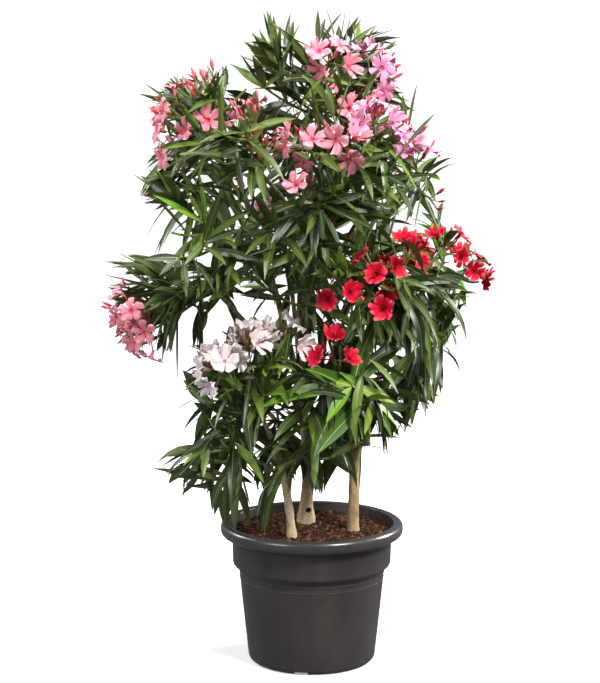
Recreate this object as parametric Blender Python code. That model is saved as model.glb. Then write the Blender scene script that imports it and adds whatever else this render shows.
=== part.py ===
"""Potted oleander: three bark-covered stems in a round nursery pot, with a crown of leafy, flowering shoots.

Run with: blender --background --python part.py
Metres, +Z up, front towards -Y. The origin is the centre of the pot's flat underside.

The crown grows by one rule. A limb ends where it enters a mass of foliage. The mass goes on from the limb's
tip with a short stem, the stem throws shoots towards its tips, and each shoot carries whorls of three leaves
and, on a flowering tip, a head of five-petalled blooms. A mass keeps to its own space, the part of the crown
that lies nearer to its own heart than to any other.
"""

import math
import random

import bmesh
import bpy
from mathutils import Matrix, Vector
from mathutils.bvhtree import BVHTree

# ---------------------------------------------------------------- driving dimensions

GAP = 0.0003  # clearance between pieces that rest on each other

# The pot
RIM_RADIUS = 0.1700  # outside of the rolled rim
RIM_ROLL = 0.0095  # radius of the roll itself
RIM_Z = 0.2530  # height of the roll's centre
RIM_SKIRT = 0.0055  # how far the roll's outside hangs down before it turns in
COLLAR_RADIUS = 0.1487
COLLAR_FOOT_Z = 0.1880
NECK_RADIUS = 0.1345
NECK_Z = 0.1690
FOOT_RADIUS = 0.1190
FOOT_ROUND = 0.0110  # rounding where the wall meets the underside
WALL = 0.0035
FLOOR = 0.0100  # height of the inside floor
PAD_RADIUS = 0.0500  # flat pad in the middle of the underside
CHANNEL_RADIUS = 0.0940  # outside of the drainage channel round the pad
CHANNEL_DEPTH = 0.0055
CHANNEL_SLOPE = 0.0030
LEDGE = 0.0012  # the fine ledge where the collar's slope meets the body
LEDGE_HEIGHT = 0.0030
COLLAR_DRAFT = 0.0012  # how much narrower the collar is at its foot
NOTCH_WIDTH = 0.0270  # drainage notch through the foot ring
NOTCH_HEIGHT = 0.0062
NOTCH_TURN = math.radians(-10.5)  # first notch, measured from the front
NOTCHES = 4
POT_SEGMENTS = 30

# The soil
SOIL_Z = 0.2470
SOIL_RELIEF = 0.0035
SOIL_RINGS = 3
SOIL_FLAT = 0.050  # round each stem

# The limbs
STEM_SIDES = 8
BOUGH_SIDES = 5
STEM_RINGS = 7
STEM_RING_POWER = 1.6  # draws a stem's rings together towards its root flare
BOUGH_RINGS = 4
BOUGH_BEND = 0.28  # how much of its length a bough spends on its parent's direction
BOUGH_REACH = 0.20  # and how far its bend has already swung over to its tip
SHARPEST_LIMB = math.radians(60)

# The foliage
LEAF_LENGTH = 0.145
LEAF_WIDTH = 0.037
LEAF_THICK = 0.0020
LEAF_WIDEST = 0.42  # share of the leaf's length from its root
LEAF_SUNK = 0.0012  # how far a leaf's root lies behind its shoot's middle line
ROOT_FREE = 0.012  # how far from its root a leaf or a stalk may still touch what grows beside it
SHOOT_RADIUS = 0.0034
SHOOT_TIP_RADIUS = 0.0030
SHOOT_SPACING = 0.0065  # between the places where two shoots leave a mass's stem
STEM_LENGTH = 0.045  # the mass's own stem, from the limb's tip
STEM_END_RADIUS = 0.0046
LEAVES_MOST = 25  # of one mass, shared out from the tips of its shoots down
WHORL = 3  # leaves at each node of a shoot
WHORL_TURN = math.radians(28)  # each way from the middle of the shoot's faces, in turn
WHORL_SPACING = 0.045
TIP_WHORL = 0.006  # from the shoot's tip down to its first whorl
WHORLS_MOST = 3
SPREAD_TIP = math.radians(40)  # between a leaf and its shoot, at the shoot's tip
SPREAD_LOW = math.radians(84)  # the same at the lowest whorl
SPREAD_VARIES = 0.15
DROOP = 0.16
DROOP_VARIES = (0.7, 1.3)
LEAF_VARIES = (0.9, 1.1)
LEAF_TRIES = [(size, turn) for size in (1.0, 0.8, 0.62, 0.5) for turn in (0.0, 0.3, -0.3, 0.6, -0.6)]
SPEAR_SIZES = (0.75, 0.55, 0.40)
FILL_TRIES = 120
FILL_LENGTH = (0.085, 0.125)  # how far the tips that the rule adds lie from the stem's end
FILL_ROOM = 0.045  # and how much room they keep beyond them
BLOOM_RADIUS = 0.0235
BLOOM_WAIST = 0.0085  # distance from the centre to the notch between two petals
BLOOM_DISH = 0.0045  # how far the throat lies below the petals' tips
BLOOM_TUBE = 0.0150
PEDICEL = (0.032, 0.052)  # from the shoot's tip to a bloom's middle
PEDICEL_RADIUS = 0.0018
STALK_SPACING = 0.004
HEAD_INNER = math.radians(16)  # between the shoot and the innermost bloom of its head
HEAD_OUTER = math.radians(80)
HEAD_RISE = 0.25  # how much a head turns up, and outwards, from its shoot's direction
HEAD_OUTWARD = 0.55
HEAD_TRIES = 6
HEAD_TURN = 0.45  # from one try for a bloom to the next
GOLDEN = 0.618
HEART_LEAN = 0.6  # share of the way from a mass's hub to the middle of its leading tips
SPACE_MARGIN = 0.0008
LIMB_MARGIN = 0.0009

# The crown's outline seen from EYE, which the foliage fills: height, left edge, right edge, half depth
EYE = (-0.022, -3.300, 1.070)
OUTLINE = (
    (1.205, -0.092, 0.075, 0.060),
    (1.180, -0.100, 0.120, 0.100),
    (1.150, -0.125, 0.168, 0.140),
    (1.112, -0.135, 0.155, 0.180),
    (1.098, -0.220, 0.150, 0.200),
    (1.075, -0.270, 0.170, 0.220),
    (1.025, -0.300, 0.215, 0.250),
    (1.000, -0.302, 0.205, 0.260),
    (0.975, -0.275, 0.205, 0.265),
    (0.945, -0.312, 0.232, 0.275),
    (0.900, -0.338, 0.245, 0.280),
    (0.850, -0.315, 0.255, 0.280),
    (0.825, -0.255, 0.258, 0.280),
    (0.800, -0.275, 0.288, 0.285),
    (0.770, -0.285, 0.308, 0.290),
    (0.750, -0.388, 0.330, 0.290),
    (0.695, -0.385, 0.330, 0.290),
    (0.665, -0.390, 0.285, 0.285),
    (0.610, -0.392, 0.270, 0.280),
    (0.590, -0.365, 0.275, 0.275),
    (0.570, -0.245, 0.262, 0.270),
    (0.485, -0.230, 0.235, 0.260),
    (0.460, -0.235, 0.190, 0.255),
    (0.410, -0.235, 0.150, 0.250),
    (0.385, -0.280, 0.100, 0.245),
    (0.355, -0.285, 0.092, 0.235),
    (0.300, -0.250, 0.085, 0.210),
    (0.270, -0.205, 0.060, 0.190),
)

# Gaps in it that stay open to the sky, as ellipses: place across, height, half width, half height
SKY = (
    (-0.136, 1.070, 0.013, 0.022),
    (-0.056, 1.038, 0.022, 0.011),
    (-0.161, 0.654, 0.014, 0.027),
    (-0.249, 0.600, 0.012, 0.030),
    (-0.226, 0.566, 0.012, 0.016),
    (-0.085, 0.647, 0.012, 0.018),
    (0.113, 0.400, 0.018, 0.030),
    (0.057, 0.331, 0.010, 0.024),
    (-0.018, 0.272, 0.052, 0.030),
)

# Stems: foot, top (their fork), radius above the root flare, radius at the top, how much the flare adds,
# how high it dies away, and the sideways bow. The middle stem stands on an old, swollen stump.
STEMS = {
    "stem_left": ((-0.037, -0.066), (-0.056, -0.086, 0.385), 0.0082, 0.0068, 0.15, 0.012, 0.003),
    "stem_middle": ((-0.011, 0.050), (-0.020, 0.040, 0.500), 0.0100, 0.0092, 0.75, 0.036, 0.006),
    "stem_right": ((0.077, -0.015), (0.092, -0.020, 0.585), 0.0103, 0.0082, 0.12, 0.012, -0.004),
}

# The knot hole in the front of the stump: middle, radius and depth
KNOT = (-0.006, 0.036, 0.273)
KNOT_RADIUS = 0.0036
KNOT_DEPTH = 0.0070
KNOT_TAPER = 0.6

# Boughs: parent, share of the parent's length where the bough leaves it, tip, radius there and at the tip
BOUGHS = {
    "bough_leader": ("stem_middle", 1.00, (0.011, 0.030, 1.005), 0.0088, 0.0048),
    "bough_left": ("stem_middle", 0.90, (-0.150, -0.025, 0.945), 0.0068, 0.0042),
    "bough_left_arm": ("stem_middle", 0.78, (-0.165, -0.055, 0.690), 0.0058, 0.0040),
    "bough_centre": ("stem_middle", 0.66, (-0.012, -0.050, 0.640), 0.0052, 0.0038),
    "bough_buds": ("bough_leader", 0.52, (-0.082, -0.065, 0.900), 0.0050, 0.0036),
    "bough_upper_right": ("bough_leader", 0.40, (0.070, -0.075, 0.893), 0.0052, 0.0040),
    "bough_far_right": ("bough_leader", 0.28, (0.160, 0.020, 0.865), 0.0052, 0.0038),
    "bough_centre_up": ("bough_leader", 0.12, (-0.022, -0.072, 0.785), 0.0048, 0.0036),
    "bough_mid_left": ("bough_left", 0.50, (-0.140, -0.070, 0.780), 0.0044, 0.0036),
    "bough_back_top": ("bough_leader", 0.62, (0.030, 0.125, 0.960), 0.0046, 0.0036),
    "bough_back_left": ("bough_left", 0.42, (-0.150, 0.110, 0.840), 0.0044, 0.0036),
    "bough_back_middle": ("stem_middle", 0.84, (-0.040, 0.160, 0.700), 0.0056, 0.0038),
    "bough_low_back": ("stem_middle", 0.50, (-0.080, 0.135, 0.440), 0.0050, 0.0036),
    "bough_right_front": ("stem_right", 1.00, (0.126, -0.078, 0.678), 0.0068, 0.0042),
    "bough_right_side": ("stem_right", 0.93, (0.212, 0.020, 0.694), 0.0055, 0.0038),
    "bough_right_low": ("stem_right", 0.80, (0.170, 0.000, 0.560), 0.0048, 0.0036),
    "bough_low_right": ("stem_right", 0.66, (0.072, -0.120, 0.505), 0.0052, 0.0042),
    "bough_back_right": ("stem_right", 0.86, (0.140, 0.130, 0.690), 0.0050, 0.0036),
    "bough_low_back_right": ("stem_right", 0.48, (0.110, 0.095, 0.460), 0.0046, 0.0034),
    "bough_white": ("stem_left", 1.00, (-0.090, -0.118, 0.478), 0.0054, 0.0040),
    "bough_low_left": ("stem_left", 0.82, (-0.125, -0.100, 0.406), 0.0044, 0.0034),
    "bough_low_centre": ("stem_left", 0.72, (-0.012, -0.105, 0.430), 0.0042, 0.0032),
}

# Masses of foliage: limb, colour of the blooms, tips of the leading shoots with their number of blooms,
# how many more shoots the rule adds, and how much the leaves hang.
MASSES = {
    "foliage_top": (
        "bough_leader",
        "pink",
        [
            (-0.066, 0.000, 1.120, 0),
            (0.028, -0.020, 1.105, 4),
            (0.105, -0.005, 1.085, 5),
            (0.010, 0.050, 1.125, 0),
            (0.058, -0.050, 1.025, 2),
        ],
        2,
        0.00,
    ),
    "foliage_upper_left": (
        "bough_left",
        "pink",
        [
            (-0.236, -0.045, 1.015, 3),
            (-0.180, -0.025, 1.030, 0),
            (-0.190, -0.085, 0.985, 2),
            (-0.262, -0.030, 0.960, 1),
            (-0.250, -0.040, 0.915, 1),
        ],
        1,
        0.10,
    ),
    "foliage_buds": (
        "bough_buds",
        "pink",
        [
            (-0.103, -0.085, 1.000, 2),
            (-0.085, -0.125, 0.945, 0),
        ],
        2,
        0.10,
    ),
    "foliage_upper_right": (
        "bough_upper_right",
        "pink",
        [
            (-0.010, -0.130, 0.955, 3),
            (0.055, -0.145, 0.960, 4),
            (0.103, -0.115, 0.998, 4),
            (0.152, -0.070, 0.985, 3),
        ],
        1,
        0.15,
    ),
    "foliage_far_right": (
        "bough_far_right",
        "pink",
        [
            (0.196, -0.010, 0.915, 3),
            (0.212, -0.040, 0.865, 0),
        ],
        3,
        0.35,
    ),
    "foliage_mid_left": (
        "bough_mid_left",
        "pink",
        [
            (-0.190, -0.140, 0.830, 0),
            (-0.245, -0.050, 0.870, 0),
            (-0.110, -0.155, 0.840, 0),
        ],
        2,
        0.30,
    ),
    "foliage_left_arm": (
        "bough_left_arm",
        "pink",
        [
            (-0.300, -0.090, 0.655, 8),
            (-0.300, -0.040, 0.725, 0),
            (-0.225, -0.110, 0.700, 0),
        ],
        2,
        0.90,
    ),
    "foliage_centre_up": (
        "bough_centre_up",
        "pink",
        [
            (-0.037, -0.165, 0.878, 1),
            (0.039, -0.165, 0.830, 0),
            (0.078, -0.140, 0.845, 0),
        ],
        2,
        0.35,
    ),
    "foliage_centre": (
        "bough_centre",
        "pink",
        [
            (-0.080, -0.140, 0.712, 0),
            (-0.010, -0.165, 0.705, 0),
            (0.035, -0.140, 0.650, 0),
            (-0.040, -0.160, 0.640, 0),
        ],
        2,
        0.40,
    ),
    "foliage_right_front": (
        "bough_right_front",
        "red",
        [
            (0.060, -0.150, 0.712, 3),
            (0.128, -0.160, 0.725, 4),
            (0.172, -0.110, 0.752, 4),
        ],
        3,
        0.60,
    ),
    "foliage_right_side": (
        "bough_right_side",
        "red",
        [
            (0.240, -0.010, 0.765, 2),
            (0.272, 0.010, 0.725, 4),
            (0.255, -0.050, 0.690, 0),
        ],
        3,
        0.60,
    ),
    "foliage_right_low": (
        "bough_right_low",
        "red",
        [
            (0.205, -0.080, 0.630, 0),
            (0.225, 0.010, 0.590, 0),
        ],
        3,
        0.80,
    ),
    "foliage_low_right": (
        "bough_low_right",
        "red",
        [
            (0.050, -0.185, 0.568, 4),
            (0.090, -0.205, 0.545, 0),
        ],
        2,
        0.50,
    ),
    "foliage_white": (
        "bough_white",
        "white",
        [
            (-0.118, -0.150, 0.605, 4),
            (-0.168, -0.165, 0.555, 4),
            (-0.075, -0.135, 0.595, 2),
        ],
        2,
        0.15,
    ),
    "foliage_low_left": (
        "bough_low_left",
        "white",
        [
            (-0.190, -0.150, 0.450, 0),
            (-0.215, -0.070, 0.430, 0),
        ],
        3,
        0.50,
    ),
    "foliage_low_centre": (
        "bough_low_centre",
        "white",
        [
            (-0.060, -0.195, 0.400, 0),
            (0.000, -0.190, 0.405, 0),
            (0.040, -0.150, 0.460, 0),
            (-0.010, -0.170, 0.520, 0),
        ],
        2,
        0.50,
    ),
    "foliage_back_top": (
        "bough_back_top",
        "pink",
        [
            (0.060, 0.170, 1.040, 3),
            (-0.030, 0.190, 1.000, 0),
        ],
        2,
        0.10,
    ),
    "foliage_back_left": (
        "bough_back_left",
        "pink",
        [
            (-0.220, 0.130, 0.930, 2),
            (-0.190, 0.190, 0.860, 0),
        ],
        3,
        0.30,
    ),
    "foliage_back_middle": (
        "bough_back_middle",
        "pink",
        [
            (-0.060, 0.240, 0.800, 2),
            (0.030, 0.240, 0.760, 0),
        ],
        3,
        0.30,
    ),
    "foliage_back_right": (
        "bough_back_right",
        "red",
        [
            (0.190, 0.190, 0.780, 3),
            (0.120, 0.220, 0.740, 0),
        ],
        3,
        0.50,
    ),
    "foliage_low_back": (
        "bough_low_back",
        "white",
        [
            (-0.120, 0.190, 0.530, 2),
            (-0.160, 0.120, 0.480, 0),
        ],
        3,
        0.30,
    ),
    "foliage_low_back_right": (
        "bough_low_back_right",
        "red",
        [
            (0.170, 0.140, 0.530, 0),
            (0.080, 0.180, 0.520, 2),
        ],
        3,
        0.50,
    ),
}

UP = Vector((0, 0, 1))

# ---------------------------------------------------------------- materials


def material(name, colour, roughness):
    """A Principled BSDF of one linear colour."""
    made = bpy.data.materials.new(name)
    made.use_nodes = True
    shader = made.node_tree.nodes["Principled BSDF"]
    shader.inputs["Base Color"].default_value = (*colour, 1.0)
    shader.inputs["Roughness"].default_value = roughness
    shader.inputs["Metallic"].default_value = 0.0
    made.diffuse_color = (*colour, 1.0)
    return made


def make_materials():
    return {
        "pot": material("pot_plastic", (0.045, 0.043, 0.045), 0.55),
        "soil": material("potting_soil", (0.060, 0.024, 0.012), 0.95),
        "bark": material("stem_bark", (0.420, 0.330, 0.220), 0.85),
        "leaf": material("oleander_leaf", (0.050, 0.110, 0.028), 0.45),
        "pink": material("pink_bloom", (0.830, 0.270, 0.330), 0.60),
        "red": material("red_bloom", (0.760, 0.015, 0.060), 0.60),
        "white": material("white_bloom", (0.800, 0.700, 0.710), 0.60),
    }


# ---------------------------------------------------------------- objects and meshes


def add_object(name, bm, *finishes, collection=None):
    """A named object from a bmesh, which it uses up."""
    mesh = bpy.data.meshes.new(name)
    bm.to_mesh(mesh)
    bm.free()
    for finish in finishes:
        mesh.materials.append(finish)
    made = bpy.data.objects.new(name, mesh)
    (collection or bpy.context.scene.collection).objects.link(made)
    return made


def hide_as_helper(obj):
    obj.hide_render = True
    obj.display_type = "WIRE"


def shade_round(obj, sharpest=math.radians(35)):
    obj.data.shade_smooth()
    obj.data.set_sharp_from_angle(angle=sharpest)


def cut(obj, cutter):
    cutting = obj.modifiers.new("cut by " + cutter.name, "BOOLEAN")
    cutting.operation = "DIFFERENCE"
    cutting.object = cutter


def turned(name, profile, segments, *finishes):
    """Spins a profile of (radius, height) round Z. Its first and last points lie on the axis."""
    bm = bmesh.new()
    line = [bm.verts.new((radius, 0.0, height)) for radius, height in profile]
    edges = [bm.edges.new(pair) for pair in zip(line, line[1:])]
    bmesh.ops.spin(
        bm, geom=line + edges, axis=UP, cent=(0, 0, 0), steps=segments, angle=math.tau, use_merge=True
    )
    bmesh.ops.remove_doubles(bm, verts=bm.verts, dist=0.00002)
    bmesh.ops.recalc_face_normals(bm, faces=bm.faces)
    return add_object(name, bm, *finishes)


def arc(centre, radius, start, end, steps):
    """Points (radius, height) along an arc. Angles are in degrees from +r towards +z."""
    made = []
    for step in range(steps + 1):
        angle = math.radians(start + (end - start) * step / steps)
        made.append((centre[0] + radius * math.cos(angle), centre[1] + radius * math.sin(angle)))
    return made


# ---------------------------------------------------------------- pot and soil


def inner_wall():
    """The pot's inside from its floor up to the roll, as (radius, height)."""
    slope = (NECK_RADIUS - FOOT_RADIUS) / NECK_Z
    return [
        (FOOT_RADIUS + slope * FLOOR - WALL, FLOOR),
        (NECK_RADIUS - WALL, NECK_Z),
        (COLLAR_RADIUS - COLLAR_DRAFT - WALL, COLLAR_FOOT_Z),
        (COLLAR_RADIUS - WALL, RIM_Z - RIM_ROLL),
    ]


def make_pot(finish):
    roll = (RIM_RADIUS - RIM_ROLL, RIM_Z)
    roll_foot = (roll[0], RIM_Z - RIM_SKIRT)
    outside = [
        (0.0, 0.0),
        (PAD_RADIUS, 0.0),
        (PAD_RADIUS + CHANNEL_SLOPE, CHANNEL_DEPTH),
        (CHANNEL_RADIUS - CHANNEL_SLOPE, CHANNEL_DEPTH),
        (CHANNEL_RADIUS, 0.0),
        *arc((FOOT_RADIUS - FOOT_ROUND, FOOT_ROUND), FOOT_ROUND, -90, -5, 2),
        (NECK_RADIUS, NECK_Z - LEDGE_HEIGHT),
        (NECK_RADIUS + LEDGE, NECK_Z),
        (COLLAR_RADIUS - COLLAR_DRAFT, COLLAR_FOOT_Z),
        (COLLAR_RADIUS, RIM_Z - RIM_SKIRT - RIM_ROLL),
        *arc(roll_foot, RIM_ROLL, -120, 0, 3),
        *arc(roll, RIM_ROLL, 0, 180, 5),
    ]
    profile = outside + inner_wall()[::-1] + [(0.0, FLOOR)]
    pot = turned("pot", profile, POT_SEGMENTS, finish)
    for number in range(NOTCHES):
        bm = bmesh.new()
        bmesh.ops.create_cube(bm, size=1.0)
        turn = NOTCH_TURN + number * math.tau / NOTCHES
        length = FOOT_RADIUS - CHANNEL_RADIUS + 4 * CHANNEL_SLOPE
        size = Matrix.Diagonal((NOTCH_WIDTH, length, 2 * NOTCH_HEIGHT, 1))
        outward = Matrix.Translation((0, -(FOOT_RADIUS + CHANNEL_RADIUS) / 2, 0))
        bmesh.ops.transform(bm, matrix=Matrix.Rotation(turn, 4, "Z") @ outward @ size, verts=bm.verts)
        notch = add_object(f"notch_{number + 1}", bm)
        hide_as_helper(notch)
        cut(pot, notch)
    shade_round(pot)
    return pot


def make_soil(finish):
    """Fills the pot. Its top is crumbly, and flat where a stem stands on it."""
    wall = [(radius - GAP * 1.5, height) for radius, height in inner_wall()]
    wall[0] = (wall[0][0], FLOOR + GAP)
    wall[-1] = (wall[-1][0], SOIL_Z)
    rings = [(wall[-1][0] * (SOIL_RINGS - n) / SOIL_RINGS, SOIL_Z) for n in range(1, SOIL_RINGS)]
    soil = turned("soil", [(0.0, FLOOR + GAP), *wall, *rings, (0.0, SOIL_Z)], POT_SEGMENTS, finish)
    rng = random.Random(11)
    for vertex in soil.data.vertices:
        on_top = vertex.co.z > SOIL_Z - 1e-5 and math.hypot(vertex.co.x, vertex.co.y) < wall[-1][0] - 0.002
        near_stem = any((Vector(foot) - vertex.co.xy).length < SOIL_FLAT for foot, *_ in STEMS.values())
        if on_top and not near_stem:
            vertex.co.z -= rng.uniform(0, SOIL_RELIEF)
    return soil


# ---------------------------------------------------------------- limbs


def bezier(start, bend, end, steps):
    points = []
    for step in range(steps + 1):
        t = step / steps
        points.append(start * (1 - t) ** 2 + bend * (2 * t * (1 - t)) + end * t**2)
    return points


def directions(points):
    """The line's direction at each of its points."""
    last = len(points) - 1
    return [(points[min(n + 1, last)] - points[max(n - 1, 0)]).normalized() for n in range(len(points))]


def frames(points):
    """Two cross directions at each point, carried along so that they don't twist."""
    made = []
    side = Vector((1, 0, 0))
    for direction in directions(points):
        side = side - direction * side.dot(direction)
        if side.length < 0.1:
            side = direction.orthogonal()
        side.normalize()
        made.append((side.copy(), direction.cross(side)))
    return made


def tube(points, radii, sides, level_foot=False):
    """A closed tapering tube along a line, as a bmesh. Its ends are flat and square to the line, or the foot
    is level."""
    bm = bmesh.new()
    rings = []
    for point, radius, (side, other) in zip(points, radii, frames(points)):
        ring = []
        for n in range(sides):
            angle = math.tau * n / sides
            ring.append(bm.verts.new(point + (side * math.cos(angle) + other * math.sin(angle)) * radius))
        rings.append(ring)
    if level_foot:
        for vertex in rings[0]:
            vertex.co.z = points[0].z
    for low, high in zip(rings, rings[1:]):
        for n in range(sides):
            m = (n + 1) % sides
            bm.faces.new((low[n], low[m], high[m], high[n]))
    bm.faces.new(rings[0][::-1])
    bm.faces.new(rings[-1])
    bmesh.ops.recalc_face_normals(bm, faces=bm.faces)
    return bm


def point_along(points, share):
    """(point, direction) at a share of the line's steps."""
    place = share * (len(points) - 1)
    first = min(int(place), len(points) - 2)
    step = points[first + 1] - points[first]
    return points[first] + step * (place - first), step.normalized()


def stem_line(foot, top, foot_radius, top_radius, flare, flare_height, bow):
    start = Vector((*foot, SOIL_Z + GAP))
    end = Vector(top)
    bend = (start + end) / 2 + Vector((2 * bow, -bow, 0))
    points = []
    radii = []
    for step in range(STEM_RINGS + 1):
        t = (step / STEM_RINGS) ** STEM_RING_POWER
        point = start * (1 - t) ** 2 + bend * (2 * t * (1 - t)) + end * t**2
        swell = flare * math.exp(-(((point.z - start.z) / flare_height) ** 2))
        points.append(point)
        radii.append((foot_radius + (top_radius - foot_radius) * t) * (1 + swell))
    return points, radii


def bough_line(parent_points, share, tip, foot_radius, tip_radius):
    """Leaves its parent along the parent's own direction, then swings over to its tip."""
    start, along = point_along(parent_points, share)
    tip = Vector(tip)
    if share == 1.0:
        start = start + along * GAP
    reach = (tip - start).length
    bend = start + along * reach * BOUGH_BEND + (tip - start) * BOUGH_REACH
    points = bezier(start, bend, tip, BOUGH_RINGS)
    steps = range(len(points))
    return points, [foot_radius + (tip_radius - foot_radius) * n / BOUGH_RINGS for n in steps]


def limb_lines():
    lines = {name: stem_line(*spec) for name, spec in STEMS.items()}
    for name, (parent, share, tip, foot_radius, tip_radius) in BOUGHS.items():
        lines[name] = bough_line(lines[parent][0], share, tip, foot_radius, tip_radius)
    return lines


def make_limbs(lines, finish):
    """A limb starts at its parent's middle, and is cut clear of every earlier limb that it meets."""
    earlier = {}
    for name, (points, radii) in lines.items():
        stands = name in STEMS
        sides = STEM_SIDES if stands else BOUGH_SIDES
        solid = tube(points, radii, sides, stands)
        reach = BVHTree.FromBMesh(solid)
        limb = add_object(name, solid, finish)
        shade_round(limb, SHARPEST_LIMB)
        for cutter, cutter_reach in earlier.values():
            if reach.overlap(cutter_reach):
                cut(limb, cutter)
        grown = tube(points, [radius + GAP for radius in radii], sides, stands)
        grown_reach = BVHTree.FromBMesh(grown)
        earlier[name] = (add_object("clear_of_" + name, grown), grown_reach)
        hide_as_helper(earlier[name][0])


def make_knot(stem):
    """Hollows the knot hole out of the front of a stem."""
    bm = bmesh.new()
    bmesh.ops.create_cone(
        bm,
        cap_ends=True,
        segments=8,
        radius1=KNOT_RADIUS,
        radius2=KNOT_RADIUS * KNOT_TAPER,
        depth=2 * KNOT_DEPTH,
    )
    place = Matrix.Translation(KNOT) @ Matrix.Rotation(math.radians(-90), 4, "X")
    bmesh.ops.transform(bm, matrix=place, verts=bm.verts)
    cutter = add_object("knot_hole", bm)
    hide_as_helper(cutter)
    cut(stem, cutter)


# ---------------------------------------------------------------- the crown's space


def outline_at(height):
    """(left edge, right edge, half depth) of the crown's outline at a height, or None above and below it."""
    for high, low in zip(OUTLINE, OUTLINE[1:]):
        if low[0] <= height <= high[0]:
            share = (high[0] - height) / (high[0] - low[0])
            return [a + (b - a) * share for a, b in zip(high[1:], low[1:])]
    return None


def in_outline(point):
    """True if a point, seen from EYE, lies inside the crown's outline and its depth."""
    scale = EYE[1] / (EYE[1] - point.y)
    place = EYE[0] + (point.x - EYE[0]) * scale
    height = EYE[2] + (point.z - EYE[2]) * scale
    edges = outline_at(height)
    if edges is None or point.z < OUTLINE[-1][0]:
        return False
    if any(((place - x) / wide) ** 2 + ((height - z) / high) ** 2 < 1 for x, z, wide, high in SKY):
        return False
    left, right, depth = edges
    across = (2 * place - left - right) / (right - left)
    return abs(across) ** 3 + abs(point.y / depth) ** 3 <= 1


class Space:
    """Where a mass may grow: inside the outline, nearer to its own heart than to any other, and off the
    limbs, the pot and the soil. It remembers what the mass has grown, so that its leaves don't cross."""

    def __init__(self, name, hearts, obstacles):
        own = hearts[name]
        others = [heart for other, heart in hearts.items() if other != name]
        self.walls = [((heart - own).normalized(), (heart + own) / 2) for heart in others]
        self.obstacles = obstacles
        self.grown = []

    def holds(self, points):
        for point in points:
            if not in_outline(point):
                return False
            if any((point - middle).dot(normal) > -SPACE_MARGIN for normal, middle in self.walls):
                return False
        return True

    def takes(self, bm):
        """True if the piece lies inside and clear of the obstacles."""
        inside = self.holds([vertex.co for vertex in bm.verts])
        return inside and not BVHTree.FromBMesh(bm).overlap(self.obstacles)

    def is_free(self, bm):
        """True if the piece crosses nothing that the mass has grown."""
        tree = BVHTree.FromBMesh(bm)
        return not any(tree.overlap(other) for other in self.grown)

    def remember(self, bm):
        self.grown.append(BVHTree.FromBMesh(bm))


# ---------------------------------------------------------------- shoots, leaves and blooms


def leaf_solid(root, direction, upper, length, width):
    """A blade of four faces, two above and two below: pointed at both ends, widest below its middle, with
    its edges raised a little above its midrib."""
    across = direction.cross(upper).normalized()
    upper = across.cross(direction).normalized()
    widest = root + direction * length * LEAF_WIDEST + upper * LEAF_THICK
    bm = bmesh.new()
    for point in (
        root,
        root + direction * length,
        widest + across * width / 2,
        widest - across * width / 2,
    ):
        bm.verts.new(point)
    bmesh.ops.convex_hull(bm, input=bm.verts)
    return bm


def bloom_solid(tip, centre, facing, turn):
    """A five-petalled funnel on its stalk: a star of petals round a throat, drawn in below to a three-sided
    stalk that stands on the shoot's tip."""
    side = facing.orthogonal().normalized()
    other = facing.cross(side)
    bm = bmesh.new()

    def ring(middle, radii, count, start):
        made = []
        for n in range(count):
            angle = start + math.tau * n / count
            radius, sunk = radii[n % len(radii)]
            spoke = side * math.cos(angle) + other * math.sin(angle)
            made.append(bm.verts.new(middle + spoke * radius - facing * sunk))
        return made

    petals = ring(centre, ((BLOOM_RADIUS, 0.0), (BLOOM_WAIST, BLOOM_DISH * 0.6)), 10, turn)
    throat = bm.verts.new(centre - facing * BLOOM_DISH)
    neck = ring(centre - facing * BLOOM_TUBE, ((PEDICEL_RADIUS, 0.0),), 3, turn)
    foot = ring(tip - facing * 0.001, ((PEDICEL_RADIUS, 0.0),), 3, turn)
    below = [neck[round(n * 3 / 10) % 3] for n in range(10)]
    for n in range(10):
        m = (n + 1) % 10
        bm.faces.new((throat, petals[n], petals[m]))
        bm.faces.new((below[n], petals[m], petals[n]))
        if below[n] != below[m]:
            bm.faces.new((below[n], below[m], petals[m]))
    for n in range(3):
        bm.faces.new((foot[n], foot[(n + 1) % 3], neck[(n + 1) % 3], neck[n]))
    bm.faces.new(foot)
    bmesh.ops.recalc_face_normals(bm, faces=bm.faces)
    return bm


def whorls(line):
    """(point, lowness) of each whorl of a shoot from its tip down. Lowness runs from 0 at the tip to 1."""
    start, tip = line
    length = (tip - start).length
    depths = [TIP_WHORL + n * WHORL_SPACING for n in range(WHORLS_MOST)]
    return [
        (tip + (start - tip) * (depth / length), n / (WHORLS_MOST - 1))
        for n, depth in enumerate(depths)
        if depth < 0.9 * length
    ]


def grow_leaf(root, spoke, along, lowness, hang, space, rng):
    """The solid of one leaf, or None. It leans out from its shoot, more so lower down, and hangs as its mass
    does. One that doesn't fit tries other turns, then smaller sizes."""
    spread = SPREAD_TIP + (SPREAD_LOW - SPREAD_TIP) * lowness + rng.uniform(-SPREAD_VARIES, SPREAD_VARIES)
    droop = (DROOP + hang) * rng.uniform(*DROOP_VARIES)
    grown = rng.uniform(*LEAF_VARIES)
    for size, turn in LEAF_TRIES:
        outward = Matrix.Rotation(turn, 3, along) @ spoke
        lean = spread + turn / 2
        direction = (along * math.cos(lean) + outward * math.sin(lean) - UP * droop).normalized()
        length = LEAF_LENGTH * grown * size
        width = LEAF_WIDTH * (0.4 + 0.6 * size)
        leaf = leaf_solid(root - direction * LEAF_SUNK, direction, along, length, width)
        blade = leaf_solid(root + direction * ROOT_FREE, direction, along, length - ROOT_FREE, width)
        fits = space.takes(leaf) and space.is_free(blade)
        blade.free()
        if fits:
            space.remember(leaf)
            return leaf
        leaf.free()
    return None


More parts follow.
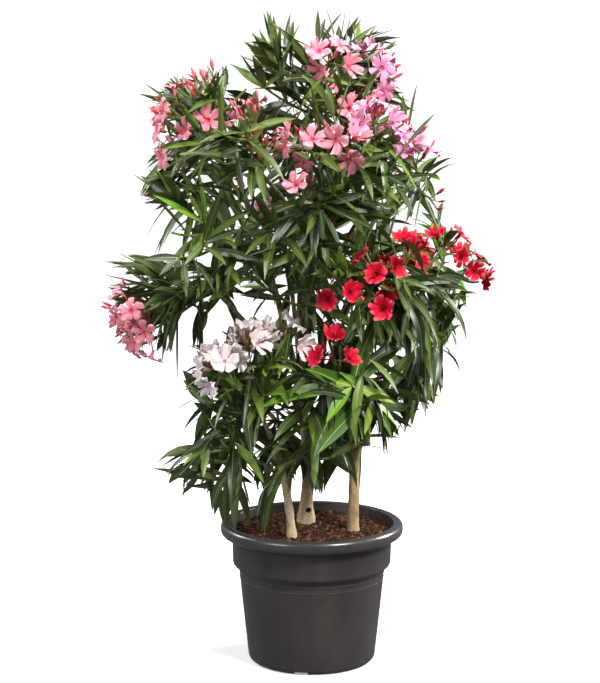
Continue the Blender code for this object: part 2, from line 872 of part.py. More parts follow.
def grow_leaves(lines, hang, space, rng):
    """The solids of the leaves along a mass's shoots: first the whorls at all tips, then the ones below."""
    made = []
    for number in range(WHORLS_MOST):
        for line in lines:
            if number >= len(whorls(line)):
                continue
            root, lowness = whorls(line)[number]
            along = directions(line)[-1]
            side, other = frames(line)[-1]
            for n in range(WHORL):
                angle = math.tau * (n + 0.5) / WHORL + WHORL_TURN * (-1) ** number
                spoke = side * math.cos(angle) + other * math.sin(angle)
                leaf = grow_leaf(root, spoke, along, lowness, hang, space, rng)
                if leaf:
                    made.append(leaf)
                if len(made) == LEAVES_MOST:
                    return made
    return made


def grow_spear(line, space):
    """The young leaf that stands on the tip of a shoot without flowers, or None."""
    along = directions(line)[-1]
    for size in SPEAR_SIZES:
        root = line[-1] - along * TIP_WHORL
        leaf = leaf_solid(root, along, along.orthogonal(), LEAF_LENGTH * size, LEAF_WIDTH * 0.7 * size)
        if space.takes(leaf):
            space.remember(leaf)
            return leaf
        leaf.free()
    return None


def grow_head(line, count, space, rng):
    """The blooms of a flower head, each on its stalk, fanned over the shoot's tip."""
    tip = line[-1]
    along = directions(line)[-1]
    outward = Vector((tip.x - KNOT[0], tip.y - KNOT[1], 0)).normalized()
    axis = (along + UP * HEAD_RISE + outward * HEAD_OUTWARD).normalized()
    side = axis.orthogonal().normalized()
    other = axis.cross(side)
    made = []
    for n in range(count):
        for attempt in range(HEAD_TRIES):
            angle = math.tau * n / max(count, 3) + attempt * HEAD_TURN
            lean = HEAD_INNER + (HEAD_OUTER - HEAD_INNER) * ((n * GOLDEN + 0.35) % 1.0)
            spoke = side * math.cos(angle) + other * math.sin(angle)
            facing = (axis * math.cos(lean) + spoke * math.sin(lean)).normalized()
            centre = tip + facing * rng.uniform(*PEDICEL)
            turn = rng.uniform(0, math.tau)
            foot = tip - along * (0.002 + STALK_SPACING * (n % 4))
            bloom = bloom_solid(foot, centre, facing, turn)
            free = bloom_solid(tip + facing * ROOT_FREE, centre, facing, turn)
            fits = space.takes(bloom) and space.is_free(free)
            free.free()
            if fits:
                space.remember(bloom)
                made.append(bloom)
                break
            bloom.free()
    return made


# ---------------------------------------------------------------- masses of foliage


def stem_of_mass(lines, limb):
    """(foot, end, direction) of the stem of the mass that a limb carries."""
    points = lines[limb][0]
    along = (points[-1] - points[-2]).normalized()
    foot = points[-1] + along * GAP
    return foot, foot + along * STEM_LENGTH, along


def heart_of(lines, limb, tips):
    """The middle of a mass: between its hub and the tips of its leading shoots."""
    hub = stem_of_mass(lines, limb)[1]
    leading = sum((Vector(tip[:3]) for tip in tips), Vector()) / len(tips)
    return hub * (1 - HEART_LEAN) + leading * HEART_LEAN


def fill_tips(space, hub, tips, count, rng):
    """Seeded tips for further shoots: each time, of the tips that fit, the one furthest from all others."""
    fitting = []
    for _ in range(FILL_TRIES):
        direction = Vector([rng.gauss(0, 1) for _ in range(3)]).normalized()
        tip = hub + direction * rng.uniform(*FILL_LENGTH)
        if space.holds([tip, tip + direction * FILL_ROOM]):
            fitting.append(tip)
    made = []
    for _ in range(min(count, len(fitting))):
        others = tips + made
        made.append(max(fitting, key=lambda tip: min((tip - other).length for other in others)))
    return made


def grow_shoots(name, hub, along, space, rng):
    """[(line, solid, blooms)] of a mass's shoots. Those that lean out most leave its stem lowest down."""
    leading, fill = MASSES[name][2:4]
    tips = [(Vector(tip[:3]), tip[3]) for tip in leading]
    tips += [(tip, 0) for tip in fill_tips(space, hub, [tip for tip, _ in tips], fill, rng)]
    tips.sort(key=lambda item: (item[0] - hub).angle(along))
    made = []
    for number, (tip, blooms) in enumerate(tips):
        line = [hub - along * (SHOOT_SPACING * (number + 0.5)), tip]
        solid = tube(line, [SHOOT_RADIUS, SHOOT_TIP_RADIUS], 3)
        if space.takes(solid):
            space.remember(solid)
            made.append((line, solid, blooms))
        else:
            solid.free()
    return made


def make_mass(name, lines, hearts, obstacles, finishes):
    """Grows a mass from its limb's tip and joins all of it into one solid."""
    limb, colour, _, _, hang = MASSES[name]
    rng = random.Random(name)
    space = Space(name, hearts, obstacles)
    foot, hub, along = stem_of_mass(lines, limb)
    stem = tube([foot, hub], [lines[limb][1][-1], STEM_END_RADIUS], BOUGH_SIDES)
    shoots = grow_shoots(name, hub, along, space, rng)
    blooms = [bloom for line, _, count in shoots for bloom in grow_head(line, count, space, rng)]
    spears = [grow_spear(line, space) for line, _, count in shoots if not count]
    leaves = grow_leaves([line for line, _, _ in shoots], hang, space, rng)

    parts = bpy.data.collections.new(name + "_parts")
    bpy.context.scene.collection.children.link(parts)
    for solid in [solid for _, solid, _ in shoots] + [spear for spear in spears if spear] + leaves:
        add_object(name + "_green", solid, finishes["leaf"], collection=parts)
    for solid in blooms:
        add_object(name + "_bloom", solid, finishes[colour], collection=parts)
    join(add_object(name, stem, finishes["leaf"], finishes[colour]), parts)


def join(base, parts):
    """One Boolean union of a collection into the base object, applied. The collection is then removed."""
    union = base.modifiers.new("grown together", "BOOLEAN")
    union.operation = "UNION"
    union.operand_type = "COLLECTION"
    union.collection = parts
    union.solver = "MANIFOLD"
    union.material_mode = "TRANSFER"
    graph = bpy.context.evaluated_depsgraph_get()
    joined = bpy.data.meshes.new_from_object(base.evaluated_get(graph))
    base.modifiers.clear()
    base.data = joined
    for part in list(parts.objects):
        bpy.data.objects.remove(part)
    bpy.data.collections.remove(parts)


def obstacle_tree(lines, solids):
    """Everything that foliage stays off, a little larger than life, as one tree of faces."""
    vertices, faces = [], []

    def take(bm):
        first = len(vertices)
        bm.verts.index_update()
        vertices.extend(vertex.co.copy() for vertex in bm.verts)
        faces.extend([first + vertex.index for vertex in face.verts] for face in bm.faces)
        bm.free()

    for points, radii in lines.values():
        take(tube(points, [radius + LIMB_MARGIN for radius in radii], BOUGH_SIDES))
    for solid in solids:
        bm = bmesh.new()
        bm.from_mesh(solid.data)
        bmesh.ops.transform(bm, matrix=Matrix.Scale(1.01, 4), verts=bm.verts)
        take(bm)
    return BVHTree.FromPolygons(vertices, faces)


def main():
    for obj in list(bpy.data.objects):
        bpy.data.objects.remove(obj)
    finishes = make_materials()
    pot = make_pot(finishes["pot"])
    soil = make_soil(finishes["soil"])
    lines = limb_lines()
    make_limbs(lines, finishes["bark"])
    make_knot(bpy.data.objects["stem_middle"])
    obstacles = obstacle_tree(lines, [pot, soil])
    hearts = {name: heart_of(lines, limb, tips) for name, (limb, _, tips, *_) in MASSES.items()}
    for name in MASSES:
        make_mass(name, lines, hearts, obstacles, finishes)


main()
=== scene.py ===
"""Potted oleander: the finish of its pot, soil and bark, and the shoots, leaves and flowers of its crown.

Laid out as a Blender add-on, and run as a script. Metres, +Z up, front towards -Y, in the frame of the part.
The crown grows by the rule of the part's solids, carried on to finer twigs: a limb goes on as a mass's stem,
the stem throws shoots, the shoots carry whorls of three leaves and, on flowering tips, a head of blooms.
"""

import functools
import math
import random
import typing

import bpy
import numpy as np
from mathutils import Matrix, Vector, noise


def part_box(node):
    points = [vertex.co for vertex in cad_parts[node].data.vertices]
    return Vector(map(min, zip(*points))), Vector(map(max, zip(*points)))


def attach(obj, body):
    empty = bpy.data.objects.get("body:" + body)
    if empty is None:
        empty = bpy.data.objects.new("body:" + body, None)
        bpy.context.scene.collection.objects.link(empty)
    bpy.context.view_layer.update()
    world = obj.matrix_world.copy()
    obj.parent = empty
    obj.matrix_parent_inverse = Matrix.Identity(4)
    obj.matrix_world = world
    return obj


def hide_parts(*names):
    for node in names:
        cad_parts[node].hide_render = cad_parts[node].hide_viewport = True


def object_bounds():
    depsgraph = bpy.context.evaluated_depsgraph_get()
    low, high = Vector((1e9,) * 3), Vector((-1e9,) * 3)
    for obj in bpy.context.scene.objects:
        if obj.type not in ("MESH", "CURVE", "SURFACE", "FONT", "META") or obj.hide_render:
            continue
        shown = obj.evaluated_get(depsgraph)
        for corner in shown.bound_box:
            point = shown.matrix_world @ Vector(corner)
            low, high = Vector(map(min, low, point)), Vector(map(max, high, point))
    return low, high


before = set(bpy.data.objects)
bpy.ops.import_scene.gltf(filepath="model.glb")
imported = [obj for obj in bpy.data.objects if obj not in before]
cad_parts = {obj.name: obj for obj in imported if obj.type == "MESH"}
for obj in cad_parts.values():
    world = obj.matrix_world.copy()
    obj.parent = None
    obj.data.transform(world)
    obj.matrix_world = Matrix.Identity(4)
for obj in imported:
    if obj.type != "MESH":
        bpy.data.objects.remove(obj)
CAD_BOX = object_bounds()

bl_info = {
    "name": "Potted Oleander",
    "version": (1, 0, 0),
    "blender": (4, 5, 0),
    "location": "View3D > Sidebar > Oleander",
    "description": "Builds the visible pieces of a potted oleander in bloom around its solids",
    "category": "Add Mesh",
}

# ---------------------------------------------------------------- driving dimensions of the part

POT_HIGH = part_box("pot")[1]
SOIL_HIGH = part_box("soil")[1]
UP = Vector((0, 0, 1))
GAP = 0.0003

# The pot, below its rim
RIM_ROLL = 0.0095
RIM_SKIRT = 0.0055
COLLAR_RADIUS = 0.1487
COLLAR_DRAFT = 0.0012
COLLAR_FOOT_Z = 0.1880
COLLAR_ROUND = 0.0080
COLLAR_COVE = 0.0040
LIP_ROUND = 0.0018
NECK_RADIUS = 0.1345
NECK_Z = 0.1690
FOOT_RADIUS = 0.1190
FOOT_ROUND = 0.0110
WALL = 0.0035
FLOOR = 0.0100
PAD_RADIUS = 0.0500
CHANNEL_RADIUS = 0.0940
CHANNEL_DEPTH = 0.0055
CHANNEL_SLOPE = 0.0030
LEDGE = 0.0012
LEDGE_HEIGHT = 0.0030
BEAD = 0.0008
BEAD_DROP = 0.0080
NOTCH_WIDTH = 0.0270
NOTCH_HEIGHT = 0.0062
NOTCH_TURN = math.radians(-10.5)
NOTCHES = 4
POT_SIDES = 120

# The soil's surface: slow swells and fine crumbs
SOIL_RINGS = 62
SWELL_HEIGHT = 0.0028
CRUMBLE_HEIGHT = 0.0034
SOIL_SUNK = 0.0008
LUMPS, FIBRES = 1000, 260

# Stems: foot, top, radius above the root flare, radius at the top, flare, its height, sideways bow
STEM_RINGS = 7
STEM_RING_POWER = 1.6
STEMS = {
    "stem_left": ((-0.037, -0.066), (-0.056, -0.086, 0.385), 0.0082, 0.0068, 0.15, 0.012, 0.003),
    "stem_middle": ((-0.011, 0.050), (-0.020, 0.040, 0.500), 0.0100, 0.0092, 0.75, 0.036, 0.006),
    "stem_right": ((0.077, -0.015), (0.092, -0.020, 0.585), 0.0103, 0.0082, 0.12, 0.012, -0.004),
}
KNOT = Vector((-0.006, 0.036, 0.273))
KNOT_RADIUS = 0.0048
KNOT_DEPTH = 0.0085
KNOT_BACK = 0.0100  # how far behind KNOT the stem's front still curves, and so is shaped
ROT_AND_SHADE_BACK = 0.0140  # the same for the rotten heart and its painted shade, at the bottom of the hole
ROT_AND_SHADE_SHARE = 0.95  # of the hole's radius
CALLUS_HEIGHT = 0.0011
CALLUS_RADIUS = 1.25  # as shares of the hole's radius
CALLUS_WIDTH = 0.35
CALLUS_REACH = 2.4

# Boughs: parent, share of the parent's length where the bough leaves it, tip, radius there and at the tip
BOUGH_RINGS = 4
BOUGH_BEND = 0.28
BOUGH_REACH = 0.20
BOUGHS = {
    "bough_leader": ("stem_middle", 1.00, (0.011, 0.030, 1.005), 0.0088, 0.0048),
    "bough_left": ("stem_middle", 0.90, (-0.150, -0.025, 0.945), 0.0068, 0.0042),
    "bough_left_arm": ("stem_middle", 0.78, (-0.165, -0.055, 0.690), 0.0058, 0.0040),
    "bough_centre": ("stem_middle", 0.66, (-0.012, -0.050, 0.640), 0.0052, 0.0038),
    "bough_buds": ("bough_leader", 0.52, (-0.082, -0.065, 0.900), 0.0050, 0.0036),
    "bough_upper_right": ("bough_leader", 0.40, (0.070, -0.075, 0.893), 0.0052, 0.0040),
    "bough_far_right": ("bough_leader", 0.28, (0.160, 0.020, 0.865), 0.0052, 0.0038),
    "bough_centre_up": ("bough_leader", 0.12, (-0.022, -0.072, 0.785), 0.0048, 0.0036),
    "bough_mid_left": ("bough_left", 0.50, (-0.140, -0.070, 0.780), 0.0044, 0.0036),
    "bough_back_top": ("bough_leader", 0.62, (0.030, 0.125, 0.960), 0.0046, 0.0036),
    "bough_back_left": ("bough_left", 0.42, (-0.150, 0.110, 0.840), 0.0044, 0.0036),
    "bough_back_middle": ("stem_middle", 0.84, (-0.040, 0.160, 0.700), 0.0056, 0.0038),
    "bough_low_back": ("stem_middle", 0.50, (-0.080, 0.135, 0.440), 0.0050, 0.0036),
    "bough_right_front": ("stem_right", 1.00, (0.126, -0.078, 0.678), 0.0068, 0.0042),
    "bough_right_side": ("stem_right", 0.93, (0.212, 0.020, 0.694), 0.0055, 0.0038),
    "bough_right_low": ("stem_right", 0.80, (0.170, 0.000, 0.560), 0.0048, 0.0036),
    "bough_low_right": ("stem_right", 0.66, (0.072, -0.120, 0.505), 0.0052, 0.0042),
    "bough_back_right": ("stem_right", 0.86, (0.140, 0.130, 0.690), 0.0050, 0.0036),
    "bough_low_back_right": ("stem_right", 0.48, (0.110, 0.095, 0.460), 0.0046, 0.0034),
    "bough_white": ("stem_left", 1.00, (-0.090, -0.118, 0.478), 0.0054, 0.0040),
    "bough_low_left": ("stem_left", 0.82, (-0.125, -0.100, 0.406), 0.0044, 0.0034),
    "bough_low_centre": ("stem_left", 0.72, (-0.012, -0.105, 0.430), 0.0042, 0.0032),
}

# The crown's outline seen from EYE, which the foliage fills: height, left edge, right edge, half depth
EYE = (-0.022, -3.300, 1.070)
OUTLINE = np.array(
    [
        (0.262, -0.170, 0.060, 0.190),
        (0.300, -0.232, 0.085, 0.210),
        (0.330, -0.268, 0.090, 0.225),
        (0.355, -0.285, 0.092, 0.235),
        (0.385, -0.280, 0.125, 0.245),
        (0.410, -0.240, 0.165, 0.250),
        (0.460, -0.238, 0.205, 0.255),
        (0.485, -0.235, 0.240, 0.260),
        (0.570, -0.245, 0.262, 0.270),
        (0.590, -0.365, 0.275, 0.275),
        (0.610, -0.392, 0.270, 0.280),
        (0.665, -0.390, 0.285, 0.285),
        (0.695, -0.385, 0.330, 0.290),
        (0.750, -0.388, 0.330, 0.290),
        (0.770, -0.285, 0.308, 0.290),
        (0.800, -0.275, 0.288, 0.285),
        (0.825, -0.255, 0.230, 0.280),
        (0.850, -0.315, 0.230, 0.280),
        (0.900, -0.315, 0.245, 0.280),
        (0.945, -0.300, 0.232, 0.275),
        (0.975, -0.275, 0.192, 0.265),
        (1.000, -0.302, 0.192, 0.260),
        (1.020, -0.300, 0.215, 0.250),
        (1.035, -0.300, 0.175, 0.245),
        (1.075, -0.270, 0.165, 0.220),
        (1.098, -0.220, 0.150, 0.200),
        (1.112, -0.135, 0.155, 0.180),
        (1.150, -0.125, 0.168, 0.140),
        (1.180, -0.100, 0.120, 0.100),
        (1.205, -0.092, 0.075, 0.060),
    ]
)

# Gaps that stay open to the sky in it, as ellipses: place across, height, half width, half height
SKY = np.array(
    [
        (-0.135, 1.075, 0.013, 0.015),
        (-0.064, 1.048, 0.014, 0.007),
        (-0.005, 1.160, 0.010, 0.020),
        (0.055, 0.810, 0.013, 0.012),
        (0.150, 0.805, 0.015, 0.007),
        (-0.195, 0.755, 0.012, 0.010),
        (-0.255, 0.775, 0.010, 0.010),
        (-0.135, 0.740, 0.008, 0.008),
        (-0.165, 0.650, 0.012, 0.026),
        (-0.180, 0.605, 0.012, 0.016),
        (-0.125, 0.655, 0.007, 0.020),
        (-0.080, 0.650, 0.014, 0.008),
        (-0.030, 0.675, 0.010, 0.010),
        (-0.120, 0.570, 0.010, 0.012),
        (-0.030, 0.580, 0.010, 0.012),
        (-0.228, 0.635, 0.010, 0.030),
        (-0.225, 0.565, 0.010, 0.014),
        (0.108, 0.372, 0.018, 0.022),
        (0.052, 0.316, 0.024, 0.026),
        (-0.020, 0.270, 0.058, 0.035),
    ]
)
SKY_EDGE = 0.004  # clear round each gap, for the width of the leaves beside it

class Tip(typing.NamedTuple):
    """A leading shoot's tip: its place, the blooms and buds of its head, and the look of its leaves."""

    x: float
    y: float
    z: float
    blooms: int = 0
    buds: int = 0
    look: str = "plain"


class Mass(typing.NamedTuple):
    """A mass of foliage: its limb, its group, how many shoots the rule adds to its leading ones, how much its
    leaves hang, and its leading tips."""

    limb: str
    group: str
    fill: int
    hang: float
    tips: tuple

    @property
    def plant(self):
        return self.group.split("_")[0]


MASSES = {
    "foliage_top": Mass("bough_leader", "pink_top", 3, 0.00, (
        Tip(-0.070, 0.000, 1.135),
        Tip(-0.092, -0.010, 1.066),
        Tip(0.028, -0.020, 1.105, 5, 3),
        Tip(0.105, -0.005, 1.085, 5, 10, "lilac"),
        Tip(0.010, 0.050, 1.140),
        Tip(0.050, 0.030, 1.130),
        Tip(0.058, -0.050, 1.025, 2, 4),
    )),
    "foliage_upper_left": Mass("bough_left", "pink_top", 2, 0.10, (
        Tip(-0.236, -0.045, 1.015, 3, 3),
        Tip(-0.180, -0.025, 1.042, 0, 12),
        Tip(-0.222, 0.010, 1.040),
        Tip(-0.190, -0.085, 0.985, 2, 4),
        Tip(-0.232, -0.030, 0.985, 1, 2),
        Tip(-0.236, -0.050, 0.945, 1, 0),
    )),
    "foliage_buds": Mass("bough_buds", "pink_top", 3, 0.10, (
        Tip(-0.103, -0.085, 1.000, 2, 10),
        Tip(-0.085, -0.125, 0.945, 0, 14),
    )),
    "foliage_upper_right": Mass("bough_upper_right", "pink_top", 2, 0.15, (
        Tip(-0.010, -0.130, 0.955, 4, 3),
        Tip(0.055, -0.145, 0.960, 5, 6),
        Tip(0.103, -0.115, 0.998, 6, 9, "lilac"),
        Tip(0.142, -0.080, 0.965, 4, 9, "lilac"),
    )),
    "foliage_far_right": Mass("bough_far_right", "pink_top", 4, 0.35, (
        Tip(0.188, -0.015, 0.925, 2, 3, "lilac"),
        Tip(0.212, -0.040, 0.865, 0, 3),
    )),
    "foliage_mid_left": Mass("bough_mid_left", "pink_middle", 3, 0.30, (
        Tip(-0.190, -0.140, 0.830, 0, 0, "young"),
        Tip(-0.245, -0.050, 0.870),
        Tip(-0.110, -0.155, 0.840),
    )),
    "foliage_left_arm": Mass("bough_left_arm", "pink_middle", 3, 0.42, (
        Tip(-0.318, -0.085, 0.668, 4, 2),
        Tip(-0.290, -0.100, 0.632, 6, 1),
        Tip(-0.305, -0.050, 0.712),
        Tip(-0.250, -0.110, 0.700),
        Tip(-0.140, -0.120, 0.720),
    )),
    "foliage_centre_up": Mass("bough_centre_up", "pink_middle", 3, 0.35, (
        Tip(-0.016, -0.165, 0.890, 1, 5),
        Tip(0.039, -0.165, 0.830),
        Tip(0.078, -0.140, 0.845),
    )),
    "foliage_centre": Mass("bough_centre", "pink_middle", 3, 0.40, (
        Tip(-0.080, -0.140, 0.712),
        Tip(-0.010, -0.165, 0.705),
        Tip(0.035, -0.140, 0.650),
        Tip(-0.040, -0.160, 0.640),
    )),
    "foliage_right_front": Mass("bough_right_front", "red", 4, 0.30, (
        Tip(0.042, -0.200, 0.735, 0, 0, "fresh"),
        Tip(0.048, -0.155, 0.696, 2, 2),
        Tip(0.116, -0.160, 0.736, 5, 3),
        Tip(0.128, -0.180, 0.690, 1, 0),
        Tip(0.168, -0.112, 0.764, 4, 3),
    )),
    "foliage_right_side": Mass("bough_right_side", "red", 3, 0.30, (
        Tip(0.240, -0.010, 0.765, 3, 4, "fresh"),
        Tip(0.280, 0.010, 0.725, 4, 5),
        Tip(0.255, -0.050, 0.690),
    )),
    "foliage_right_low": Mass("bough_right_low", "red", 4, 0.50, (
        Tip(0.205, -0.080, 0.630),
        Tip(0.235, 0.000, 0.612),
    )),
    "foliage_low_right": Mass("bough_low_right", "red", 3, 0.85, (
        Tip(0.034, -0.175, 0.590, 3, 3),
        Tip(0.068, -0.220, 0.554, 0, 0, "broad"),
        Tip(0.105, -0.190, 0.525, 0, 0, "broad"),
        Tip(0.080, -0.165, 0.500),
    )),
    "foliage_white": Mass("bough_white", "white", 3, 0.15, (
        Tip(-0.112, -0.155, 0.606, 6, 4),
        Tip(-0.160, -0.165, 0.572, 6, 2),
        Tip(-0.056, -0.145, 0.612, 3, 3),
        Tip(-0.180, -0.130, 0.500),
    )),
    "foliage_low_left": Mass("bough_low_left", "white", 3, 0.35, (
        Tip(-0.190, -0.150, 0.435),
        Tip(-0.222, -0.070, 0.410),
        Tip(-0.135, -0.150, 0.480),
        Tip(-0.128, -0.125, 0.385),
    )),
    "foliage_low_centre": Mass("bough_low_centre", "white", 2, 0.50, (
        Tip(-0.060, -0.195, 0.400),
        Tip(0.000, -0.190, 0.405),
        Tip(0.040, -0.150, 0.460),
        Tip(-0.010, -0.170, 0.520),
    )),
    "foliage_back_top": Mass("bough_back_top", "pink_top", 4, 0.10, (
        Tip(0.060, 0.170, 1.040, 5, 4),
        Tip(-0.030, 0.190, 1.000, 0, 6),
    )),
    "foliage_back_left": Mass("bough_back_left", "pink_middle", 4, 0.30, (
        Tip(-0.220, 0.130, 0.930, 4, 5),
        Tip(-0.190, 0.190, 0.860),
    )),
    "foliage_back_middle": Mass("bough_back_middle", "pink_middle", 5, 0.30, (
        Tip(-0.060, 0.240, 0.800, 3, 4),
        Tip(0.030, 0.240, 0.760),
    )),
    "foliage_back_right": Mass("bough_back_right", "red", 4, 0.50, (
        Tip(0.190, 0.190, 0.735, 5, 3),
        Tip(0.120, 0.220, 0.740),
    )),
    "foliage_low_back": Mass("bough_low_back", "white", 3, 0.10, (
        Tip(-0.120, 0.190, 0.530, 4, 2),
        Tip(-0.160, 0.120, 0.480),
    )),
    "foliage_low_back_right": Mass("bough_low_back_right", "red", 4, 0.50, (
        Tip(0.170, 0.140, 0.530),
        Tip(0.080, 0.180, 0.520, 3, 2),
    )),
}

# The groups of masses whose leaves, wood and flowers are joined, each kind in a piece, and the pieces' slots
SLOTS = {
    "pink_top": "foliage_pink",
    "pink_middle": "foliage_pink",
    "red": "foliage_red",
    "white": "foliage_white",
}
GROUPS = {group: [name for name, mass in MASSES.items() if mass.group == group] for group in SLOTS}

# How the three plants' leaves differ: their width and length against the set ones, and how far they droop
HABITS = {"pink": (0.84, 1.00, 0.80), "red": (1.00, 1.05, 1.75), "white": (0.95, 0.98, 1.20)}

# The rule of growth
STEM_LENGTH = 0.045
STEM_MIDDLE_RADIUS = 0.0044
STEM_END_RADIUS = 0.0034
SHOOT_RADIUS = 0.0031
SHOOT_TIP_RADIUS = 0.0019
SHOOT_SPACING = 0.0065
SHOOT_RISE = 0.16  # how far a shoot swings up towards its tip, as a share of its length
SHOOT_STEPS = 6
TWIGS_UNDER_HEAD = 3
TWIG_FOOT = (0.45, 0.75)  # where a twig leaves its shoot, as a share of the shoot's length
TWIG_LENGTH = (0.055, 0.085)
TWIG_LEAN = (0.6, 1.0)
FILL_TRIES = 160
FILL_LENGTH = (0.070, 0.135)
FILL_ROOM = 0.040
HEART_LEAN = 0.6
SPACE_SLACK = 0.022  # how far leaves reach over into the next mass's space
WHORL = 3
WHORLS_MOST = 8
WHORL_FOOT = 0.022  # bare length at the foot of a shoot
HEAD_STALK = 0.032  # bare length under a head of flowers
TIP_STALK = 0.003  # the same, at a leafy tip
FIRST_WHORLS = 0.55  # the space between a tip's first two whorls, against the others
LEAVES_MOST = 165
# Leaves from a shoot's tip down: length against the full one, angle to the shoot, and curve along the blade
LEAF_SIZES = (0.55, 0.80, 0.95, 1.0, 1.0, 0.95, 0.88, 0.80)
LEAF_LEANS = (0.36, 0.62, 0.86, 1.05, 1.22, 1.36, 1.48, 1.58)
LEAF_BENDS = (0.12, 0.26, 0.40, 0.52, 0.62, 0.72, 0.80, 0.88)
HEAD_WHORL = 2  # leaves under a head are full-grown
BLOOM_ROOM = 0.021  # between a leaf and the middle of a bloom
BLOOM_SIGHT = 0.085  # how far a bloom looks out past the leaves
HEAD_FRONT = 0.06  # how far back blooms are still seen from EYE
BEHIND_BLOOM = -0.004  # where its sight starts
BUD_ROOM = 0.007
BUD_SIGHT = 0.040
FRONT_SIGHT = 0.160  # the same, towards EYE
HEAD_OUTER = math.radians(84)
BUDS_SPREAD = 0.52  # how far buds fan out, against the blooms
BUD_STALK = (0.026, 0.060)
HEAD_RISE = 0.25  # how far a head turns up, and away from the middle of the plant
HEAD_OUTWARD = 0.55
BLOOM_WOBBLE = 0.16  # how far blooms turn off their stalks
PEDICEL = (0.034, 0.052)
GOLDEN_ANGLE = math.radians(137.5)
NEARBY = 0.35  # how far from its heart a mass looks for limbs and blooms
STRAY_SHARE = 0.14  # of the leaves, that reach out past the outline
STRAY_REACH = 0.50
STRAY_LENGTH = 1.22  # against the other leaves, because strays are long, thin and curled
STRAY_WIDTH = 0.66
STRAY_CURL = 1.4
STRAY_LOW, STRAY_HIGH = np.array(CAD_BOX[0]), np.array(CAD_BOX[1])
BOLD_SHARE = 0.10  # of the leaves, that may stand in front of a bloom
LEAF_VARIES = (0.88, 1.12)  # a leaf's length and width
LEAN_VARIES = 0.14
BEND_VARIES = (0.5, 1.5)
HANG_VARIES = (0.25, 1.6)
YAW_VARIES = 0.22
ROLL_VARIES = 0.3
SPOKE_VARIES = 0.15
FOLDS = (0.10, 0.34)  # how far the halves fold up
TRIED_SIZES = (1.0, 0.85, 0.70)  # a leaf that doesn't fit is tried smaller, and turned about its shoot
TRIED_TURNS = (0.0, 0.35, -0.35, 0.7, -0.7)
FIRST_WIDTH = 0.7  # of the leaves at a tip, against the others
FACE_UP = 0.35  # how far blades turn their upper side up, out of the way they would face
LIMB_ROOM = 0.0012  # between a leaf and a limb
FRESH_WHORLS = 4  # how far down a fresh shoot its leaves are fresh, and how many of them are young
YOUNG_SHARE = 0.25
FRESH_TIPS = 0.10  # of the plain shoots
TINT_SHARES = (0.34, 0.44, 0.22)  # deep, middle and light
# Fresh leaves, and the big leaves of the rosette low down in front, against the others
FRESH_LENGTH = 1.08
FRESH_WIDTH = 1.30
BROAD_LENGTH = (1.05, 1.30)
BROAD_FIRST = 0.55  # the length of those at the tip, against the rest of the rosette
BROAD_WIDTH = 1.75
BROAD_LEAN = 1.25
BROAD_HANG = 0.80
BROAD_SLACK = 0.085

# ---------------------------------------------------------------- colours


def linear(hex_colour):
    """The linear RGB of an sRGB hex value."""
    made = []
    for n in (1, 3, 5):
        value = int(hex_colour[n : n + 2], 16) / 255
        made.append(value / 12.92 if value <= 0.04045 else ((value + 0.055) / 1.055) ** 2.4)
    return tuple(made)


def colour_property(name, description, hex_colour):
    return bpy.props.FloatVectorProperty(
        name=name,
        description=description,
        default=linear(hex_colour),
        subtype="COLOR",
        size=3,
        min=0,
        max=1,
    )


def length_property(name, description, default, most=2.0):
    return bpy.props.FloatProperty(
        name=name,
        description=description,
        default=default,
        min=0,
        max=most,
        unit="LENGTH",
        subtype="DISTANCE",
    )


# ---------------------------------------------------------------- settings


class OleanderPotSettings(bpy.types.PropertyGroup):
    """The nursery pot and what it holds"""

    rim_radius: length_property("Rim radius", "Outside of the pot's rolled rim", POT_HIGH.x)
    rim_top: length_property("Height", "Top of the rolled rim above the floor", POT_HIGH.z)
    soil_radius: length_property("Soil radius", "Where the soil meets the pot's wall", SOIL_HIGH.x)
    soil_level: length_property("Soil level", "Height of the soil above the floor", SOIL_HIGH.z)
    plastic: colour_property("Plastic", "Colour of the moulded plastic", "#393533")
    peat: colour_property("Peat", "Colour of damp peat", "#382116")
    fibre: colour_property("Fibre", "Colour of the drier fibres and crumbs", "#8c5d42")


class OleanderBarkSettings(bpy.types.PropertyGroup):
    """The woody stems and boughs"""

    relief: length_property("Relief", "Height of the bark's ridges", 0.0011, 0.01)
    pale: colour_property("Pale bark", "Colour of the old stems' bark", "#ddcba6")
    shade: colour_property("Dark bark", "Colour of its cracks and scars", "#6a4f30")
    green: colour_property("Young bark", "Colour of the boughs' bark", "#6b6a3a")


class OleanderLeafSettings(bpy.types.PropertyGroup):
    """The leaves"""

    length: length_property("Leaf length", "Length of a full-grown leaf", 0.140)
    width: length_property("Leaf width", "Width of a full-grown leaf", 0.0188)
    spacing: length_property("Whorl spacing", "Between two whorls of leaves on a shoot", 0.0195)
    deep: colour_property("Deep green", "Colour of the oldest leaves", "#2b381b")
    middle: colour_property("Middle green", "Colour of most leaves", "#445620")
    light: colour_property("Light green", "Colour of the lighter leaves", "#627a2b")
    broad: colour_property("Full green", "Colour of the big leaves low in front", "#45671f")
    fresh: colour_property("Fresh green", "Colour of this season's leaves", "#638f1f")
    young: colour_property("Young green", "Colour of unfolding leaves", "#839e2f")
    under: colour_property("Underside", "Colour of the leaves' undersides", "#52612f")


class OleanderBloomSettings(bpy.types.PropertyGroup):
    """The flowers"""

    radius: length_property("Bloom radius", "Radius of an open bloom", 0.0250)
    pink: colour_property("Pink", "Colour of the salmon-pink petals", "#e992a3")
    lilac: colour_property("Lilac pink", "Colour of the cooler pink petals", "#e29fbd")
    red: colour_property("Red", "Colour of the crimson petals", "#e40a35")
    white: colour_property("White", "Colour of the blush-white petals", "#f0e4e2")
    bud: colour_property("Buds", "Colour of the unopened pink buds", "#c93a46")


